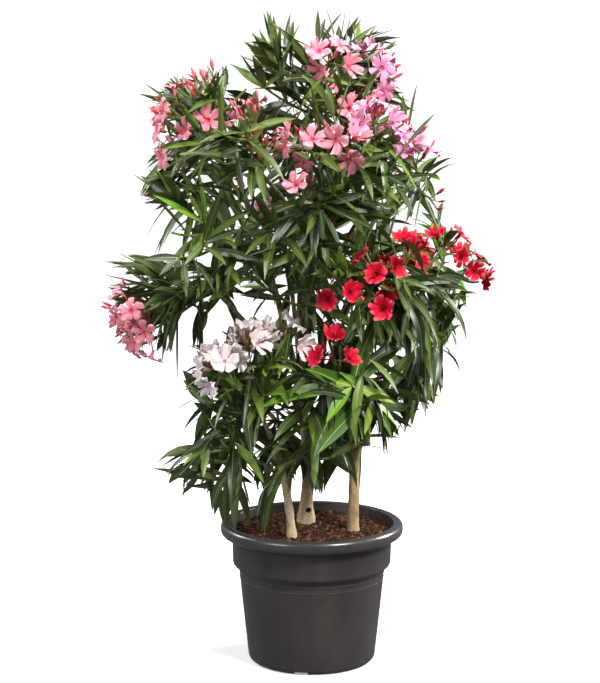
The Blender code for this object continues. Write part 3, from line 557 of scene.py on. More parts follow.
class OleanderStageSettings(bpy.types.PropertyGroup):
    """Floor, light and camera"""

    floor: colour_property("Floor", "Colour of the floor and the backdrop", "#fbfbfb")
    distance: length_property("Camera distance", "From the camera to the plant", 3.3, 20.0)
    height: length_property("Camera height", "Above the floor", 1.07, 20.0)
    tilt: bpy.props.FloatProperty(
        name="Camera tilt",
        description="How far the camera looks down",
        default=math.radians(8.12),
        subtype="ANGLE",
        unit="ROTATION",
    )


# ---------------------------------------------------------------- helpers for modelling


def deselect_all():
    """Object mode with nothing selected: the frame leaves the solids selected."""
    if bpy.context.mode != "OBJECT":
        bpy.ops.object.mode_set(mode="OBJECT")
    bpy.ops.object.select_all(action="DESELECT")


def apply_modifier(obj, kind, **settings):
    """Adds a modifier to the active object and applies it."""
    made = obj.modifiers.new(kind.lower(), kind)
    for key, value in settings.items():
        setattr(made, key, value)
    bpy.ops.object.modifier_apply(modifier=made.name)


def grown_rings(profile, sides, closed=True):
    """A turned piece: a disc drawn out ring by ring along a profile of (radius, height), closed if asked."""
    deselect_all()
    radius, height = profile[0]
    bpy.ops.mesh.primitive_circle_add(vertices=sides, radius=radius, fill_type="TRIFAN")
    bpy.context.object.location.z = height
    bpy.ops.object.transform_apply(location=True)
    bpy.ops.object.mode_set(mode="EDIT")
    bpy.ops.mesh.select_mode(type="EDGE")
    bpy.ops.mesh.select_all(action="DESELECT")
    bpy.ops.mesh.select_non_manifold()
    for next_radius, next_height in profile[1:]:
        lift = (0, 0, next_height - height)
        bpy.ops.mesh.extrude_edges_move(TRANSFORM_OT_translate={"value": lift})
        scale = next_radius / radius
        bpy.ops.transform.resize(value=(scale, scale, 1), center_override=(0, 0, next_height))
        radius, height = next_radius, next_height
    if closed:
        bpy.ops.mesh.edge_face_add()
    bpy.ops.mesh.select_all(action="SELECT")
    bpy.ops.mesh.normals_make_consistent(inside=False)
    bpy.ops.object.mode_set(mode="OBJECT")
    return bpy.context.object


def arc(centre, radius, start, end, steps):
    """Points (radius, height) along an arc. Angles are in degrees from +r towards +z."""
    angles = [math.radians(start + (end - start) * n / steps) for n in range(steps + 1)]
    return [(centre[0] + radius * math.cos(angle), centre[1] + radius * math.sin(angle)) for angle in angles]


def places(mesh):
    """The mesh's vertices as an array."""
    made = np.empty(len(mesh.vertices) * 3, np.float32)
    mesh.vertices.foreach_get("co", made)
    return made.reshape(-1, 3).astype(float)


def move_to(mesh, points):
    mesh.vertices.foreach_set("co", np.asarray(points, np.float32).ravel())
    mesh.update()


def finished(obj, name, slot, *nodes):
    """Names a piece, puts it on the body and hides the solids that it stands for."""
    obj.name = obj.data.name = name
    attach(obj, "root")
    if nodes:
        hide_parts(*nodes)


def of_group(obj, kind, group, *nodes):
    finished(obj, f"{kind}_{group}", SLOTS[group], *nodes)


def merged(threshold, outwards=True):
    """Merges the doubles of the mesh in edit mode, turns its faces outwards if asked, and ends edit mode."""
    bpy.ops.mesh.select_all(action="SELECT")
    bpy.ops.mesh.remove_doubles(threshold=threshold)
    if outwards:
        bpy.ops.mesh.normals_make_consistent(inside=False)
    bpy.ops.object.mode_set(mode="OBJECT")
    return bpy.context.object


def linked(mesh, sharpest):
    """A new object in the scene that shows the mesh, smooth but for its sharp edges."""
    mesh.shade_smooth()
    mesh.set_sharp_from_angle(angle=sharpest)
    obj = bpy.data.objects.new(mesh.name, mesh)
    bpy.context.scene.collection.objects.link(obj)
    return obj


# ---------------------------------------------------------------- materials


def node(tree, kind, links=None, **settings):
    """Adds a shader node. Settings name its properties or, in plain words, its inputs. Links map an input to
    an output socket of another node."""
    made = tree.nodes.new(kind)
    for key, value in settings.items():
        label = key.replace("_", " ").title()
        if label in made.inputs:
            made.inputs[label].default_value = value
        else:
            setattr(made, key, value)
    for key, socket in (links or {}).items():
        tree.links.new(socket, made.inputs[key])
    return made


def material(name, colour, roughness, **sockets):
    """A Principled material whose plain values are set on the shader's own sockets."""
    made = bpy.data.materials.new(name)
    made.use_nodes = True
    tree = made.node_tree
    shader = tree.nodes["Principled BSDF"]
    shader.inputs["Base Color"].default_value = (*colour, 1)
    shader.inputs["Roughness"].default_value = roughness
    for key, value in sockets.items():
        shader.inputs[key.replace("_", " ").title().replace("Ior", "IOR")].default_value = value
    made.diffuse_color = (*colour, 1)
    return made, tree, shader


def mixed(tree, factor, first, second):
    """The output of a colour mix. A colour is a plain value or a socket."""
    mix = tree.nodes.new("ShaderNodeMix")
    mix.data_type = "RGBA"
    tree.links.new(factor, mix.inputs[0])
    for index, colour in ((6, first), (7, second)):
        if isinstance(colour, bpy.types.NodeSocket):
            tree.links.new(colour, mix.inputs[index])
        else:
            mix.inputs[index].default_value = (*colour, 1)
    return mix.outputs[2]


def ramp(tree, source, low, high, **settings):
    """A smooth step of a value from low to high."""
    made = node(
        tree,
        "ShaderNodeMapRange",
        {"Value": source},
        interpolation_type="SMOOTHSTEP",
        from_min=low,
        from_max=high,
        **settings,
    )
    return made.outputs["Result"]


def object_noise(tree, size, detail=3.0, stretch=(1, 1, 1)):
    """A noise whose features are about size metres across, in Object coordinates."""
    place = node(tree, "ShaderNodeTexCoord")
    spread = node(tree, "ShaderNodeMapping", {"Vector": place.outputs["Object"]}, scale=stretch)
    vector = {"Vector": spread.outputs["Vector"]}
    return node(tree, "ShaderNodeTexNoise", vector, scale=1 / size, detail=detail).outputs["Fac"]


def bands(tree, axis, scale, distortion):
    """Soft bands across one axis of the piece's own UV map."""
    place = node(tree, "ShaderNodeTexCoord")
    vector = {"Vector": place.outputs["UV"]}
    settings = {"wave_type": "BANDS", "bands_direction": axis, "scale": scale, "distortion": distortion}
    return node(tree, "ShaderNodeTexWave", vector, **settings).outputs["Fac"]


def relief(tree, shader, height, strength, depth):
    """Bump of a given depth in metres."""
    bump = node(tree, "ShaderNodeBump", {"Height": height}, strength=strength, distance=depth)
    tree.links.new(bump.outputs["Normal"], shader.inputs["Normal"])


def shaded(colour, share):
    return tuple(value * share for value in colour)


def polypropylene(settings, rim):
    """Injection-moulded polypropylene, carbon black with a fine spark-eroded grain: satin, a little dusty on
    the wall, and polished smooth where hands have rubbed the rim."""
    plastic = tuple(settings.plastic)
    name = "moulded_polypropylene_rim" if rim else "moulded_polypropylene"
    polish = {"coat_weight": 0.60, "coat_roughness": 0.22} if rim else {}
    made, tree, shader = material(name, plastic, 0.30 if rim else 0.42, specular_ior_level=0.5, **polish)
    dust = ramp(tree, object_noise(tree, size=0.045, detail=5.0, stretch=(1, 1, 0.35)), 0.35, 0.80)
    dusty = tuple(value * 1.35 + 0.004 for value in plastic)
    tree.links.new(mixed(tree, dust, plastic, dusty), shader.inputs["Base Color"])
    worn = object_noise(tree, size=0.020, detail=4.0)
    smoothest, roughest = (0.24, 0.40) if rim else (0.36, 0.52)
    worn = node(tree, "ShaderNodeMapRange", {"Value": worn}, to_min=smoothest, to_max=roughest)
    tree.links.new(worn.outputs["Result"], shader.inputs["Roughness"])
    # The real grain is about 0.1 mm and wouldn't show, so it is drawn at 0.8 mm.
    relief(tree, shader, object_noise(tree, size=0.0008, detail=2.0), strength=0.25, depth=0.0002)
    return made


def peat(name, dark, light, share):
    """Damp peat mix: crumbly, matt, dark where it is wet and red-brown where fibres have dried."""
    made, tree, shader = material(name, dark, 0.95, specular_ior_level=0.2)
    crumbs = ramp(tree, object_noise(tree, size=0.0090, detail=6.0), 0.62 - share, 0.78 - share)
    fine = object_noise(tree, size=0.0030, detail=4.0)
    base = mixed(tree, ramp(tree, fine, 0.35, 0.60), shaded(dark, 0.45), mixed(tree, crumbs, dark, light))
    tree.links.new(base, shader.inputs["Base Color"])
    relief(tree, shader, fine, strength=0.8, depth=0.0012)
    return made


def old_bark(settings, name, tone):
    """Smooth, thin bark of an old oleander stem: pale grey-beige, with fine upright cracks, darker scars of
    fallen leaves and warty pores."""
    pale = tuple(value * share for value, share in zip(settings.pale, tone))
    made, tree, shader = material(name, pale, 0.80, specular_ior_level=0.3)
    cracks = ramp(tree, object_noise(tree, size=0.0022, detail=4.0, stretch=(1, 1, 0.16)), 0.56, 0.74)
    patches = ramp(tree, object_noise(tree, size=0.016, detail=4.0, stretch=(1, 1, 0.5)), 0.42, 0.66)
    place = node(tree, "ShaderNodeTexCoord")
    pores = node(tree, "ShaderNodeTexVoronoi", {"Vector": place.outputs["Object"]}, scale=1 / 0.0060)
    warts = ramp(tree, pores.outputs["Distance"], 0.18, 0.08)
    middle = tuple((a * 0.62 + b * 0.38) for a, b in zip(pale, settings.shade))
    base = mixed(tree, patches, pale, middle)
    base = mixed(tree, cracks, base, tuple(settings.shade))
    base = mixed(tree, warts, base, shaded(settings.shade, 0.8))
    tree.links.new(base, shader.inputs["Base Color"])
    ridges = object_noise(tree, size=0.0030, detail=5.0, stretch=(1, 1, 0.3))
    relief(tree, shader, ridges, strength=0.7, depth=0.0012)
    return made


def young_bark(settings):
    """Bark of the boughs, still half green: olive, with pale lengthways streaks and brown patches."""
    made, tree, shader = material("green_oleander_bark", settings.green, 0.62, specular_ior_level=0.4)
    streaks = ramp(tree, object_noise(tree, size=0.0030, detail=4.0, stretch=(1, 1, 0.2)), 0.40, 0.70)
    browned = ramp(tree, object_noise(tree, size=0.030), 0.40, 0.62)
    base = mixed(tree, browned, tuple(settings.green), shaded(settings.shade, 0.8))
    base = mixed(tree, streaks, base, shaded(settings.pale, 0.62))
    tree.links.new(base, shader.inputs["Base Color"])
    ridges = object_noise(tree, size=0.0020, detail=4.0, stretch=(1, 1, 0.3))
    relief(tree, shader, ridges, strength=0.5, depth=0.0008)
    return made


def rot_and_painted_shade():
    """The dark, punky wood inside the knot hole of the stump, made near-black with painted shade of the deep
    hole on top of the rot's own dark.
    """
    made, tree, shader = material("rotted_heartwood_and_painted_shade", linear("#1d120b"), 0.95)
    crumble = ramp(tree, object_noise(tree, size=0.0015), 0.4, 0.7)
    tree.links.new(mixed(tree, crumble, linear("#120a06"), linear("#38251a")), shader.inputs["Base Color"])
    return made


def leaf_face(name, colour, roughness, veins):
    """One side of a leathery oleander leaf. Its colour is plain, dealt out leaf by leaf. The waxed upper side
    has a soft gloss, and fine side veins lift it in close rows."""
    made, tree, shader = material(name, colour, roughness, specular_ior_level=0.5)
    # Side veins stand about 1.6 mm apart on a leaf of 140 mm, so about 90 of them follow its length.
    relief(tree, shader, bands(tree, "Y", scale=14.0, distortion=1.5), strength=veins, depth=0.0003)
    return made


def petal(name, colour, throat, vein):
    """A thin, silky petal: deeper at the throat, paler at its edge, with faint veins that run outwards."""
    made, tree, shader = material(name, colour, 0.62, specular_ior_level=0.15)
    place = node(tree, "ShaderNodeTexCoord")
    outwards = node(tree, "ShaderNodeSeparateXYZ", {"Vector": place.outputs["UV"]}).outputs["Y"]
    paler = tuple(value + (1 - value) * 0.10 for value in colour)
    base = mixed(tree, ramp(tree, outwards, 0.55, 1.0), tuple(colour), paler)
    base = mixed(tree, ramp(tree, outwards, 0.42, 0.02), base, throat)
    veins = bands(tree, "X", scale=2.2, distortion=0.8)
    sharp, inner = ramp(tree, veins, 0.72, 1.0), ramp(tree, outwards, 0.9, 0.1)
    lines = node(tree, "ShaderNodeMath", {0: sharp, 1: inner}, operation="MULTIPLY")
    base = mixed(tree, lines.outputs["Value"], base, vein)
    tree.links.new(base, shader.inputs["Base Color"])
    relief(tree, shader, veins, strength=0.35, depth=0.0006)
    return made


def stalk(name, colour, flush):
    """Green wood of this year's shoots and flower stalks, flushed with another tone in places."""
    made, tree, shader = material(name, colour, 0.50, specular_ior_level=0.5)
    patches = ramp(tree, object_noise(tree, size=0.020), 0.42, 0.62)
    tree.links.new(mixed(tree, patches, colour, flush), shader.inputs["Base Color"])
    relief(tree, shader, object_noise(tree, size=0.0015, detail=2.0), strength=0.3, depth=0.0004)
    return made


# ---------------------------------------------------------------- arrays: one modelled shape, many times over


class Shape:
    """A modelled shape read as arrays, so that it can be laid out many times in one mesh."""

    def __init__(self, obj):
        mesh = obj.data
        self.points = places(mesh)
        self.corners = np.empty(len(mesh.loops), np.int32)
        mesh.loops.foreach_get("vertex_index", self.corners)
        self.starts, self.totals, self.finish = (np.empty(len(mesh.polygons), np.int32) for _ in range(3))
        mesh.polygons.foreach_get("loop_start", self.starts)
        mesh.polygons.foreach_get("loop_total", self.totals)
        mesh.polygons.foreach_get("material_index", self.finish)
        self.uv = np.zeros(len(mesh.loops) * 2, np.float32)
        if mesh.uv_layers:
            mesh.uv_layers[0].data.foreach_get("uv", self.uv)
        bpy.data.objects.remove(obj)


def laid_out(batches, materials, sharpest=math.radians(50)):
    """One piece of many copies. A batch is (shape, points of all copies, finish of each copy's faces)."""
    points, corners, starts, totals, finish, uvs = [], [], [], [], [], []
    first_point = first_corner = 0
    for shape, copies, finishes in batches:
        count = len(copies)
        if not count:
            continue
        number = np.arange(count)[:, None]
        points.append(copies.reshape(-1, 3))
        corners.append((shape.corners[None] + first_point + number * len(shape.points)).ravel())
        starts.append((shape.starts[None] + first_corner + number * len(shape.corners)).ravel())
        totals.append(np.tile(shape.totals, count))
        finish.append(finishes.ravel())
        uvs.append(np.tile(shape.uv, count))
        first_point += count * len(shape.points)
        first_corner += count * len(shape.corners)
    mesh = bpy.data.meshes.new("copies")
    mesh.vertices.add(first_point)
    mesh.loops.add(first_corner)
    mesh.polygons.add(sum(len(part) for part in starts))
    mesh.vertices.foreach_set("co", np.concatenate(points).astype(np.float32).ravel())
    mesh.loops.foreach_set("vertex_index", np.concatenate(corners).astype(np.int32))
    for field, parts in (("loop_start", starts), ("loop_total", totals), ("material_index", finish)):
        mesh.polygons.foreach_set(field, np.concatenate(parts).astype(np.int32))
    mesh.update(calc_edges=True)
    mesh.uv_layers.new(name="UVMap").data.foreach_set("uv", np.concatenate(uvs).astype(np.float32))
    for made in materials:
        mesh.materials.append(made)
    return linked(mesh, sharpest)


def units(vectors):
    return vectors / np.maximum(np.linalg.norm(vectors, axis=-1, keepdims=True), 1e-9)


def placed(shape, centres, facings, turns, scales):
    """Copies of a shape whose own +Z points along each facing."""
    facings = units(np.asarray(facings, float))
    helper = np.where(np.abs(facings[:, 2:3]) < 0.9, [[0, 0, 1.0]], [[1.0, 0, 0]])
    side = units(np.cross(helper, facings))
    other = np.cross(facings, side)
    turns = np.asarray(turns, float)[:, None]
    across = side * np.cos(turns) + other * np.sin(turns)
    along = other * np.cos(turns) - side * np.sin(turns)
    basis = np.stack([across, along, facings], 1) * np.asarray(scales, float)[:, None, None]
    return shape.points @ basis + np.asarray(centres, float)[:, None]


# ---------------------------------------------------------------- lines of the limbs


def bezier(start, bend, end, steps):
    shares = [n / steps for n in range(steps + 1)]
    return [start * (1 - t) ** 2 + bend * (2 * t * (1 - t)) + end * t**2 for t in shares]


def directions(points):
    """The line's direction at each of its points."""
    last = len(points) - 1
    return [(points[min(n + 1, last)] - points[max(n - 1, 0)]).normalized() for n in range(len(points))]


def cross_frames(points):
    """Two cross directions at each point, carried along so that they don't twist."""
    made = []
    side = Vector((1, 0, 0))
    for direction in directions(points):
        side = side - direction * side.dot(direction)
        if side.length < 0.1:
            side = direction.orthogonal()
        side.normalize()
        made.append((side.copy(), direction.cross(side)))
    return made


def point_along(points, share):
    """(point, direction) at a share of the line's steps."""
    place = share * (len(points) - 1)
    first = min(int(place), len(points) - 2)
    step = points[first + 1] - points[first]
    return points[first] + step * (place - first), step.normalized()


def stem_line(foot, top, foot_radius, top_radius, flare, flare_height, bow):
    start = Vector((*foot, SOIL_HIGH.z + GAP))
    end = Vector(top)
    bend = (start + end) / 2 + Vector((2 * bow, -bow, 0))
    points = []
    radii = []
    for step in range(STEM_RINGS + 1):
        t = (step / STEM_RINGS) ** STEM_RING_POWER
        point = start * (1 - t) ** 2 + bend * (2 * t * (1 - t)) + end * t**2
        swell = flare * math.exp(-(((point.z - start.z) / flare_height) ** 2))
        points.append(point)
        radii.append((foot_radius + (top_radius - foot_radius) * t) * (1 + swell))
    return points, radii


def bough_line(parent_points, share, tip, foot_radius, tip_radius):
    start, along = point_along(parent_points, share)
    tip = Vector(tip)
    bend = start + along * (tip - start).length * BOUGH_BEND + (tip - start) * BOUGH_REACH
    radii = [foot_radius + (tip_radius - foot_radius) * n / BOUGH_RINGS for n in range(BOUGH_RINGS + 1)]
    return bezier(start, bend, tip, BOUGH_RINGS), radii


@functools.cache
def limb_lines():
    lines = {name: stem_line(*spec) for name, spec in STEMS.items()}
    for name, (parent, share, tip, foot_radius, tip_radius) in BOUGHS.items():
        lines[name] = bough_line(lines[parent][0], share, tip, foot_radius, tip_radius)
    return lines


@functools.cache
def limb_samples():
    """Points along all limbs with their radii, for keeping leaves off them."""
    points, radii = [], []
    for line, widths in limb_lines().values():
        for n in range(len(line) - 1):
            steps = max(2, int((line[n + 1] - line[n]).length / 0.006))
            for step in range(steps):
                points.append(line[n].lerp(line[n + 1], step / steps))
                radii.append(widths[n])
    return np.array(points), np.array(radii)


# ---------------------------------------------------------------- the crown's space


def in_outline(points, reach=0.0):
    """For each point, whether it lies inside the crown's outline, seen from EYE, and inside its depth. A
    stray leaf reaches out past it by a share, but not past the part's own box."""
    scale = EYE[1] / (EYE[1] - points[:, 1])
    height = EYE[2] + (points[:, 2] - EYE[2]) * scale
    left, right, depth = (np.interp(height, OUTLINE[:, 0], OUTLINE[:, n]) for n in (1, 2, 3))
    place = EYE[0] + (points[:, 0] - EYE[0]) * scale
    across = (2 * place - left - right) / (right - left)
    inside = np.abs(across) ** 3 + np.abs(points[:, 1] / depth) ** 3 <= 1 + reach
    if reach:
        inside &= ((points > STRAY_LOW) & (points < STRAY_HIGH)).all(1)
    beside = (place[:, None] - SKY[:, 0]) / (SKY[:, 2] + SKY_EDGE)
    above = (height[:, None] - SKY[:, 1]) / (SKY[:, 3] + SKY_EDGE)
    inside &= (beside**2 + above**2 > 1).all(1)
    return inside & (height < OUTLINE[-1, 0]) & (points[:, 2] > OUTLINE[0, 0])


class Space:
    """Where a mass may grow: inside the outline, nearer to its own heart than to any other apart from some
    slack, off the limbs, and out of the way of the blooms."""

    def __init__(self, name, hearts):
        own = hearts[name]
        others = [heart for other, heart in hearts.items() if other != name]
        self.heart = np.array(own)
        self.normals = np.array([(heart - own).normalized() for heart in others])
        self.offsets = np.array([(heart + own).dot((heart - own).normalized()) / 2 for heart in others])
        limbs, radii = limb_samples()
        near = np.linalg.norm(limbs - self.heart, axis=1) < NEARBY
        self.limbs, self.radii = limbs[near], radii[near]
        self.sights = np.zeros((0, 8))

    def holds(self, points, slack=0.0, reach=0.0):
        """For an array of points: whether each lies in the mass's space."""
        near = ((points @ self.normals.T) - self.offsets < slack).all(1)
        return near & in_outline(points, reach)

    def keep_clear(self, sights):
        """Takes the lines of sight out of all blooms: (place, direction, radius, length) in eight numbers."""
        self.sights = sights[np.linalg.norm(sights[:, :3] - self.heart, axis=1) < NEARBY]

    def is_clear(self, points, bold=False):
        """Whether each of the points is off the limbs and, unless bold, out of all blooms' sight."""
        clear = (np.linalg.norm(points[:, None] - self.limbs[None], axis=2) > self.radii + LIMB_ROOM).all(1)
        if not len(self.sights):
            return clear
        flowers, facings, rooms, lengths = np.split(self.sights, [3, 6, 7], axis=1)
        to_point = points[:, None] - flowers[None]
        ahead = (to_point * facings[None]).sum(2)
        aside = np.linalg.norm(to_point - ahead[..., None] * facings[None], axis=2)
        hiding = (ahead > BEHIND_BLOOM) & (ahead < lengths.T) & (aside < rooms.T)
        touching = np.linalg.norm(to_point, axis=2) < rooms.T
        return clear & ~(touching if bold else hiding | touching).any(1)


# ---------------------------------------------------------------- growing the crown

BLADE_ROWS = np.array([0.0, 0.035, 0.11, 0.24, 0.40, 0.57, 0.74, 0.89, 1.0])
CHECKED = np.array([0.15, 0.3, 0.45, 0.6, 0.72, 0.82, 0.92, 1.0])  # where a leaf is tested for room
# Columns of a grown leaf's numbers
PLACE, ACROSS = slice(0, 3), slice(9, 12)
HEADING, RISE, BEND, YAW, LENGTH, WIDTH = range(3, 9)
TINT, FOLD = 12, 13
# Tints, in the order of the leaves' materials
DEEP, MIDDLE, LIGHT, BROAD, FRESH, YOUNG = range(6)


def blade_lines(leaves, shares):
    """(points, directions) of the middle lines of leaves at shares of their length. A blade leaves along its
    heading and rise, curves down by its bend and swings aside by its yaw."""
    fine = np.linspace(0, 1, 17)
    middle = (fine[1:] + fine[:-1]) / 2

    def direction(t):
        rise = np.maximum(leaves[:, RISE, None] - leaves[:, BEND, None] * t**1.3, -1.50)
        turn = leaves[:, HEADING, None] + leaves[:, YAW, None] * t
        return np.stack([np.cos(rise) * np.cos(turn), np.cos(rise) * np.sin(turn), np.sin(rise)], 2)

    steps = direction(middle) * (leaves[:, LENGTH, None, None] / len(middle))
    path = np.concatenate([np.zeros((len(leaves), 1, 3)), np.cumsum(steps, 1)], 1)
    place = np.asarray(shares) * (len(fine) - 1)
    low = np.minimum(place.astype(int), len(fine) - 2)
    part = (place - low)[None, :, None]
    points = path[:, low] * (1 - part) + path[:, low + 1] * part + leaves[:, None, PLACE]
    return points, direction(np.asarray(shares))


def shoot_curve(start, tip):
    """A shoot's line, which swings up towards its tip."""
    length = (tip - start).length
    bend = start.lerp(tip, 0.5) - UP * (length * SHOOT_RISE) * (1 - abs((tip - start).normalized().z))
    return bezier(start, bend, tip, SHOOT_STEPS)


def stem_of_mass(limb):
    """(foot, hub, direction) of the stem of the mass that a limb carries."""
    points = limb_lines()[limb][0]
    along = (points[-1] - points[-2]).normalized()
    return points[-1], points[-1] + along * STEM_LENGTH, along


def hearts_of_masses():
    made = {}
    for name, mass in MASSES.items():
        leading = sum((Vector(tip[:3]) for tip in mass.tips), Vector()) / len(mass.tips)
        made[name] = stem_of_mass(mass.limb)[1] * (1 - HEART_LEAN) + leading * HEART_LEAN
    return made


def fill_tips(space, hub, tips, count, rng):
    """Seeded tips for further shoots: each time, of the tips that fit, the one furthest from all others."""
    fitting = []
    for _ in range(FILL_TRIES):
        direction = Vector([rng.gauss(0, 1) for _ in range(3)]).normalized()
        tip = hub + direction * rng.uniform(*FILL_LENGTH)
        if space.holds(np.array([tip, tip + direction * FILL_ROOM])).all():
            fitting.append(tip)
    made = []
    for _ in range(min(count, len(fitting))):
        others = tips + made
        made.append(max(fitting, key=lambda tip: min((tip - other).length for other in others)))
    return made


class Shoot(typing.NamedTuple):
    """A shoot or twig: the points of its line, the blooms and buds at its tip, and the look of its leaves."""

    line: list
    blooms: int = 0
    buds: int = 0
    look: str = "plain"


def grow_shoots(mass, space, rng):
    """The shoots of a mass, those that lean out most leaving its stem lowest down, and then the twigs that
    they throw."""
    _, hub, along = stem_of_mass(mass.limb)
    tips = [(Vector(tip[:3]), *tip[3:]) for tip in mass.tips]
    tips += [(tip,) for tip in fill_tips(space, hub, [tip[0] for tip in tips], mass.fill, rng)]
    tips.sort(key=lambda item: (item[0] - hub).angle(along))
    shoots = []
    for number, (tip, *head) in enumerate(tips):
        start = hub - along * min(SHOOT_SPACING * (number + 0.5), 0.9 * STEM_LENGTH)
        shoots.append(Shoot(shoot_curve(start, tip), *head))
    twigs = []
    for shoot in shoots:
        for _ in range(TWIGS_UNDER_HEAD if shoot.blooms or shoot.buds else 1):
            start, forward = point_along(shoot.line, rng.uniform(*TWIG_FOOT))
            side = forward.orthogonal().normalized()
            side.rotate(Matrix.Rotation(rng.uniform(0, math.tau), 3, forward))
            lean = rng.uniform(*TWIG_LEAN)
            tip = start + (forward * math.cos(lean) + side * math.sin(lean)) * rng.uniform(*TWIG_LENGTH)
            if space.holds(np.array([tip]), SPACE_SLACK).all() and space.is_clear(np.array([tip])).all():
                twigs.append(Shoot(shoot_curve(start, tip)))
    return shoots + twigs


def fan(axis, side, other, number, count, outer):
    """One of count directions spread evenly over a cap round the axis."""
    outer = outer * min(1.0, 0.35 + 0.15 * count)
    lean = math.acos(1 - (number + 0.5) / count * (1 - math.cos(outer)))
    angle = number * GOLDEN_ANGLE
    return axis * math.cos(lean) + (side * math.cos(angle) + other * math.sin(angle)) * math.sin(lean)


def grow_head(shoot, rng):
    """([bloom], [bud]) of a flower head, fanned over its shoot's tip. Each is (foot, place, facing, look)."""
    tip = shoot.line[-1]
    outward = Vector((tip.x - KNOT.x, tip.y - KNOT.y, 0)).normalized()
    axis = (directions(shoot.line)[-1] + UP * HEAD_RISE + outward * HEAD_OUTWARD).normalized()
    side = axis.orthogonal().normalized()
    other = axis.cross(side)
    blooms, buds = [], []
    for number in range(shoot.blooms):
        facing = fan(axis, side, other, number, shoot.blooms, HEAD_OUTER)
        wobble = Vector([rng.gauss(0, BLOOM_WOBBLE) for _ in range(3)])
        place = tip + facing * rng.uniform(*PEDICEL)
        blooms.append((tip, place, (facing + wobble).normalized(), shoot.look))
    for number in range(shoot.buds):
        facing = fan(axis, other, -side, number, shoot.buds, HEAD_OUTER * BUDS_SPREAD)
        place = tip + facing * rng.uniform(*BUD_STALK)
        buds.append((tip, place, (facing + axis + UP * 0.5).normalized(), shoot.look))
    return blooms, buds


def sights_of(flowers, room, length):
    """The lines of sight that leaves keep out of: out from each flower, and from those in front to EYE."""
    made = []
    for _, place, facing, _ in flowers:
        made.append((*place, *facing, room, length))
        if place.y < HEAD_FRONT:
            made.append((*place, *(Vector(EYE) - place).normalized(), room, FRONT_SIGHT))
    return made


def whorl_places(shoot, spacing):
    """(point, direction) of each whorl of a shoot, from its tip down."""
    line = shoot.line
    lengths = [0.0]
    for start, end in zip(line, line[1:]):
        lengths.append(lengths[-1] + (end - start).length)
    made = []
    depth = HEAD_STALK if shoot.blooms or shoot.buds else TIP_STALK
    while depth < lengths[-1] - WHORL_FOOT and len(made) < WHORLS_MOST:
        at = lengths[-1] - depth
        first = max(n for n in range(len(lengths) - 1) if lengths[n] <= at)
        step = line[first + 1] - line[first]
        made.append((line[first] + step * ((at - lengths[first]) / step.length), step.normalized()))
        depth += spacing * (FIRST_WHORLS if len(made) == 1 else 1.0)
    return made


def leaf_tint(look, number, rng):
    """Young leaves stand at a shoot's tip, and the older ones' tints are dealt out leaf by leaf."""
    if look == "broad":
        return rng.choice(((YOUNG, FRESH), (BROAD, FRESH), (BROAD,))[min(number, 2)])
    if look == "young" and number < 2:
        return YOUNG if number == 0 else FRESH
    if look == "fresh" and number < FRESH_WHORLS:
        return YOUNG if rng.random() < YOUNG_SHARE else FRESH
    if number == 0 and rng.random() < FRESH_TIPS:
        return FRESH
    return rng.choices((DEEP, MIDDLE, LIGHT), TINT_SHARES)[0]


def grow_leaf(root, along, spoke, number, look, mass, space, rng, settings):
    """The numbers of one leaf, or None. One that doesn't fit tries other turns, then smaller sizes."""
    width, length, droop = HABITS[mass.plant]
    hang = mass.hang
    full = settings.length * length * LEAF_SIZES[number] * rng.uniform(*LEAF_VARIES)
    lean = LEAF_LEANS[number] + rng.uniform(-LEAN_VARIES, LEAN_VARIES)
    bend = LEAF_BENDS[number] * droop * rng.uniform(*BEND_VARIES)
    tint = leaf_tint(look, number, rng)
    broad = settings.width * width * rng.uniform(*LEAF_VARIES)
    if look == "fresh" and tint >= FRESH:
        full *= FRESH_LENGTH
        broad *= FRESH_WIDTH
    if look == "broad":
        full = settings.length * rng.uniform(*BROAD_LENGTH) * (BROAD_FIRST if number == 0 else 1.0)
        lean = max(lean, BROAD_LEAN)
        broad *= BROAD_WIDTH
        hang *= BROAD_HANG
    yaw = rng.uniform(-YAW_VARIES, YAW_VARIES)
    fold = rng.uniform(*FOLDS)
    roll = rng.uniform(-ROLL_VARIES, ROLL_VARIES)
    reach = STRAY_REACH if rng.random() < STRAY_SHARE else 0.0
    if reach and look == "plain":
        full *= STRAY_LENGTH
        broad *= STRAY_WIDTH
        bend *= STRAY_CURL
    bold = rng.random() < BOLD_SHARE
    sag = UP * hang * rng.uniform(*HANG_VARIES)
    tries = []
    for size in TRIED_SIZES:
        wide = broad * (0.45 + 0.55 * size) * (FIRST_WIDTH if number == 0 else 1.0)
        for turn in TRIED_TURNS:
            outward = Matrix.Rotation(turn, 3, along) @ spoke
            tilt = lean + turn / 3
            stiff = along * math.cos(tilt) + outward * math.sin(tilt)
            upper = along * math.sin(tilt) - outward * math.cos(tilt)
            direction = (stiff - sag).normalized()
            upper = stiff.rotation_difference(direction) @ upper + UP * FACE_UP
            across = direction.cross(upper).normalized() + upper * roll
            heading = math.atan2(direction.y, direction.x)
            rise = math.asin(max(-1, min(1, direction.z)))
            tries.append((*root, heading, rise, bend, yaw, full * size, wide, *across, tint, fold))
    tries = np.array(tries)
    points = blade_lines(tries, CHECKED)[0].reshape(-1, 3)
    slack = BROAD_SLACK if look == "broad" else SPACE_SLACK
    free = space.holds(points, slack, reach) & space.is_clear(points, bold)
    fits = free.reshape(len(tries), -1).all(1)
    return tries[fits.argmax()] if fits.any() else None


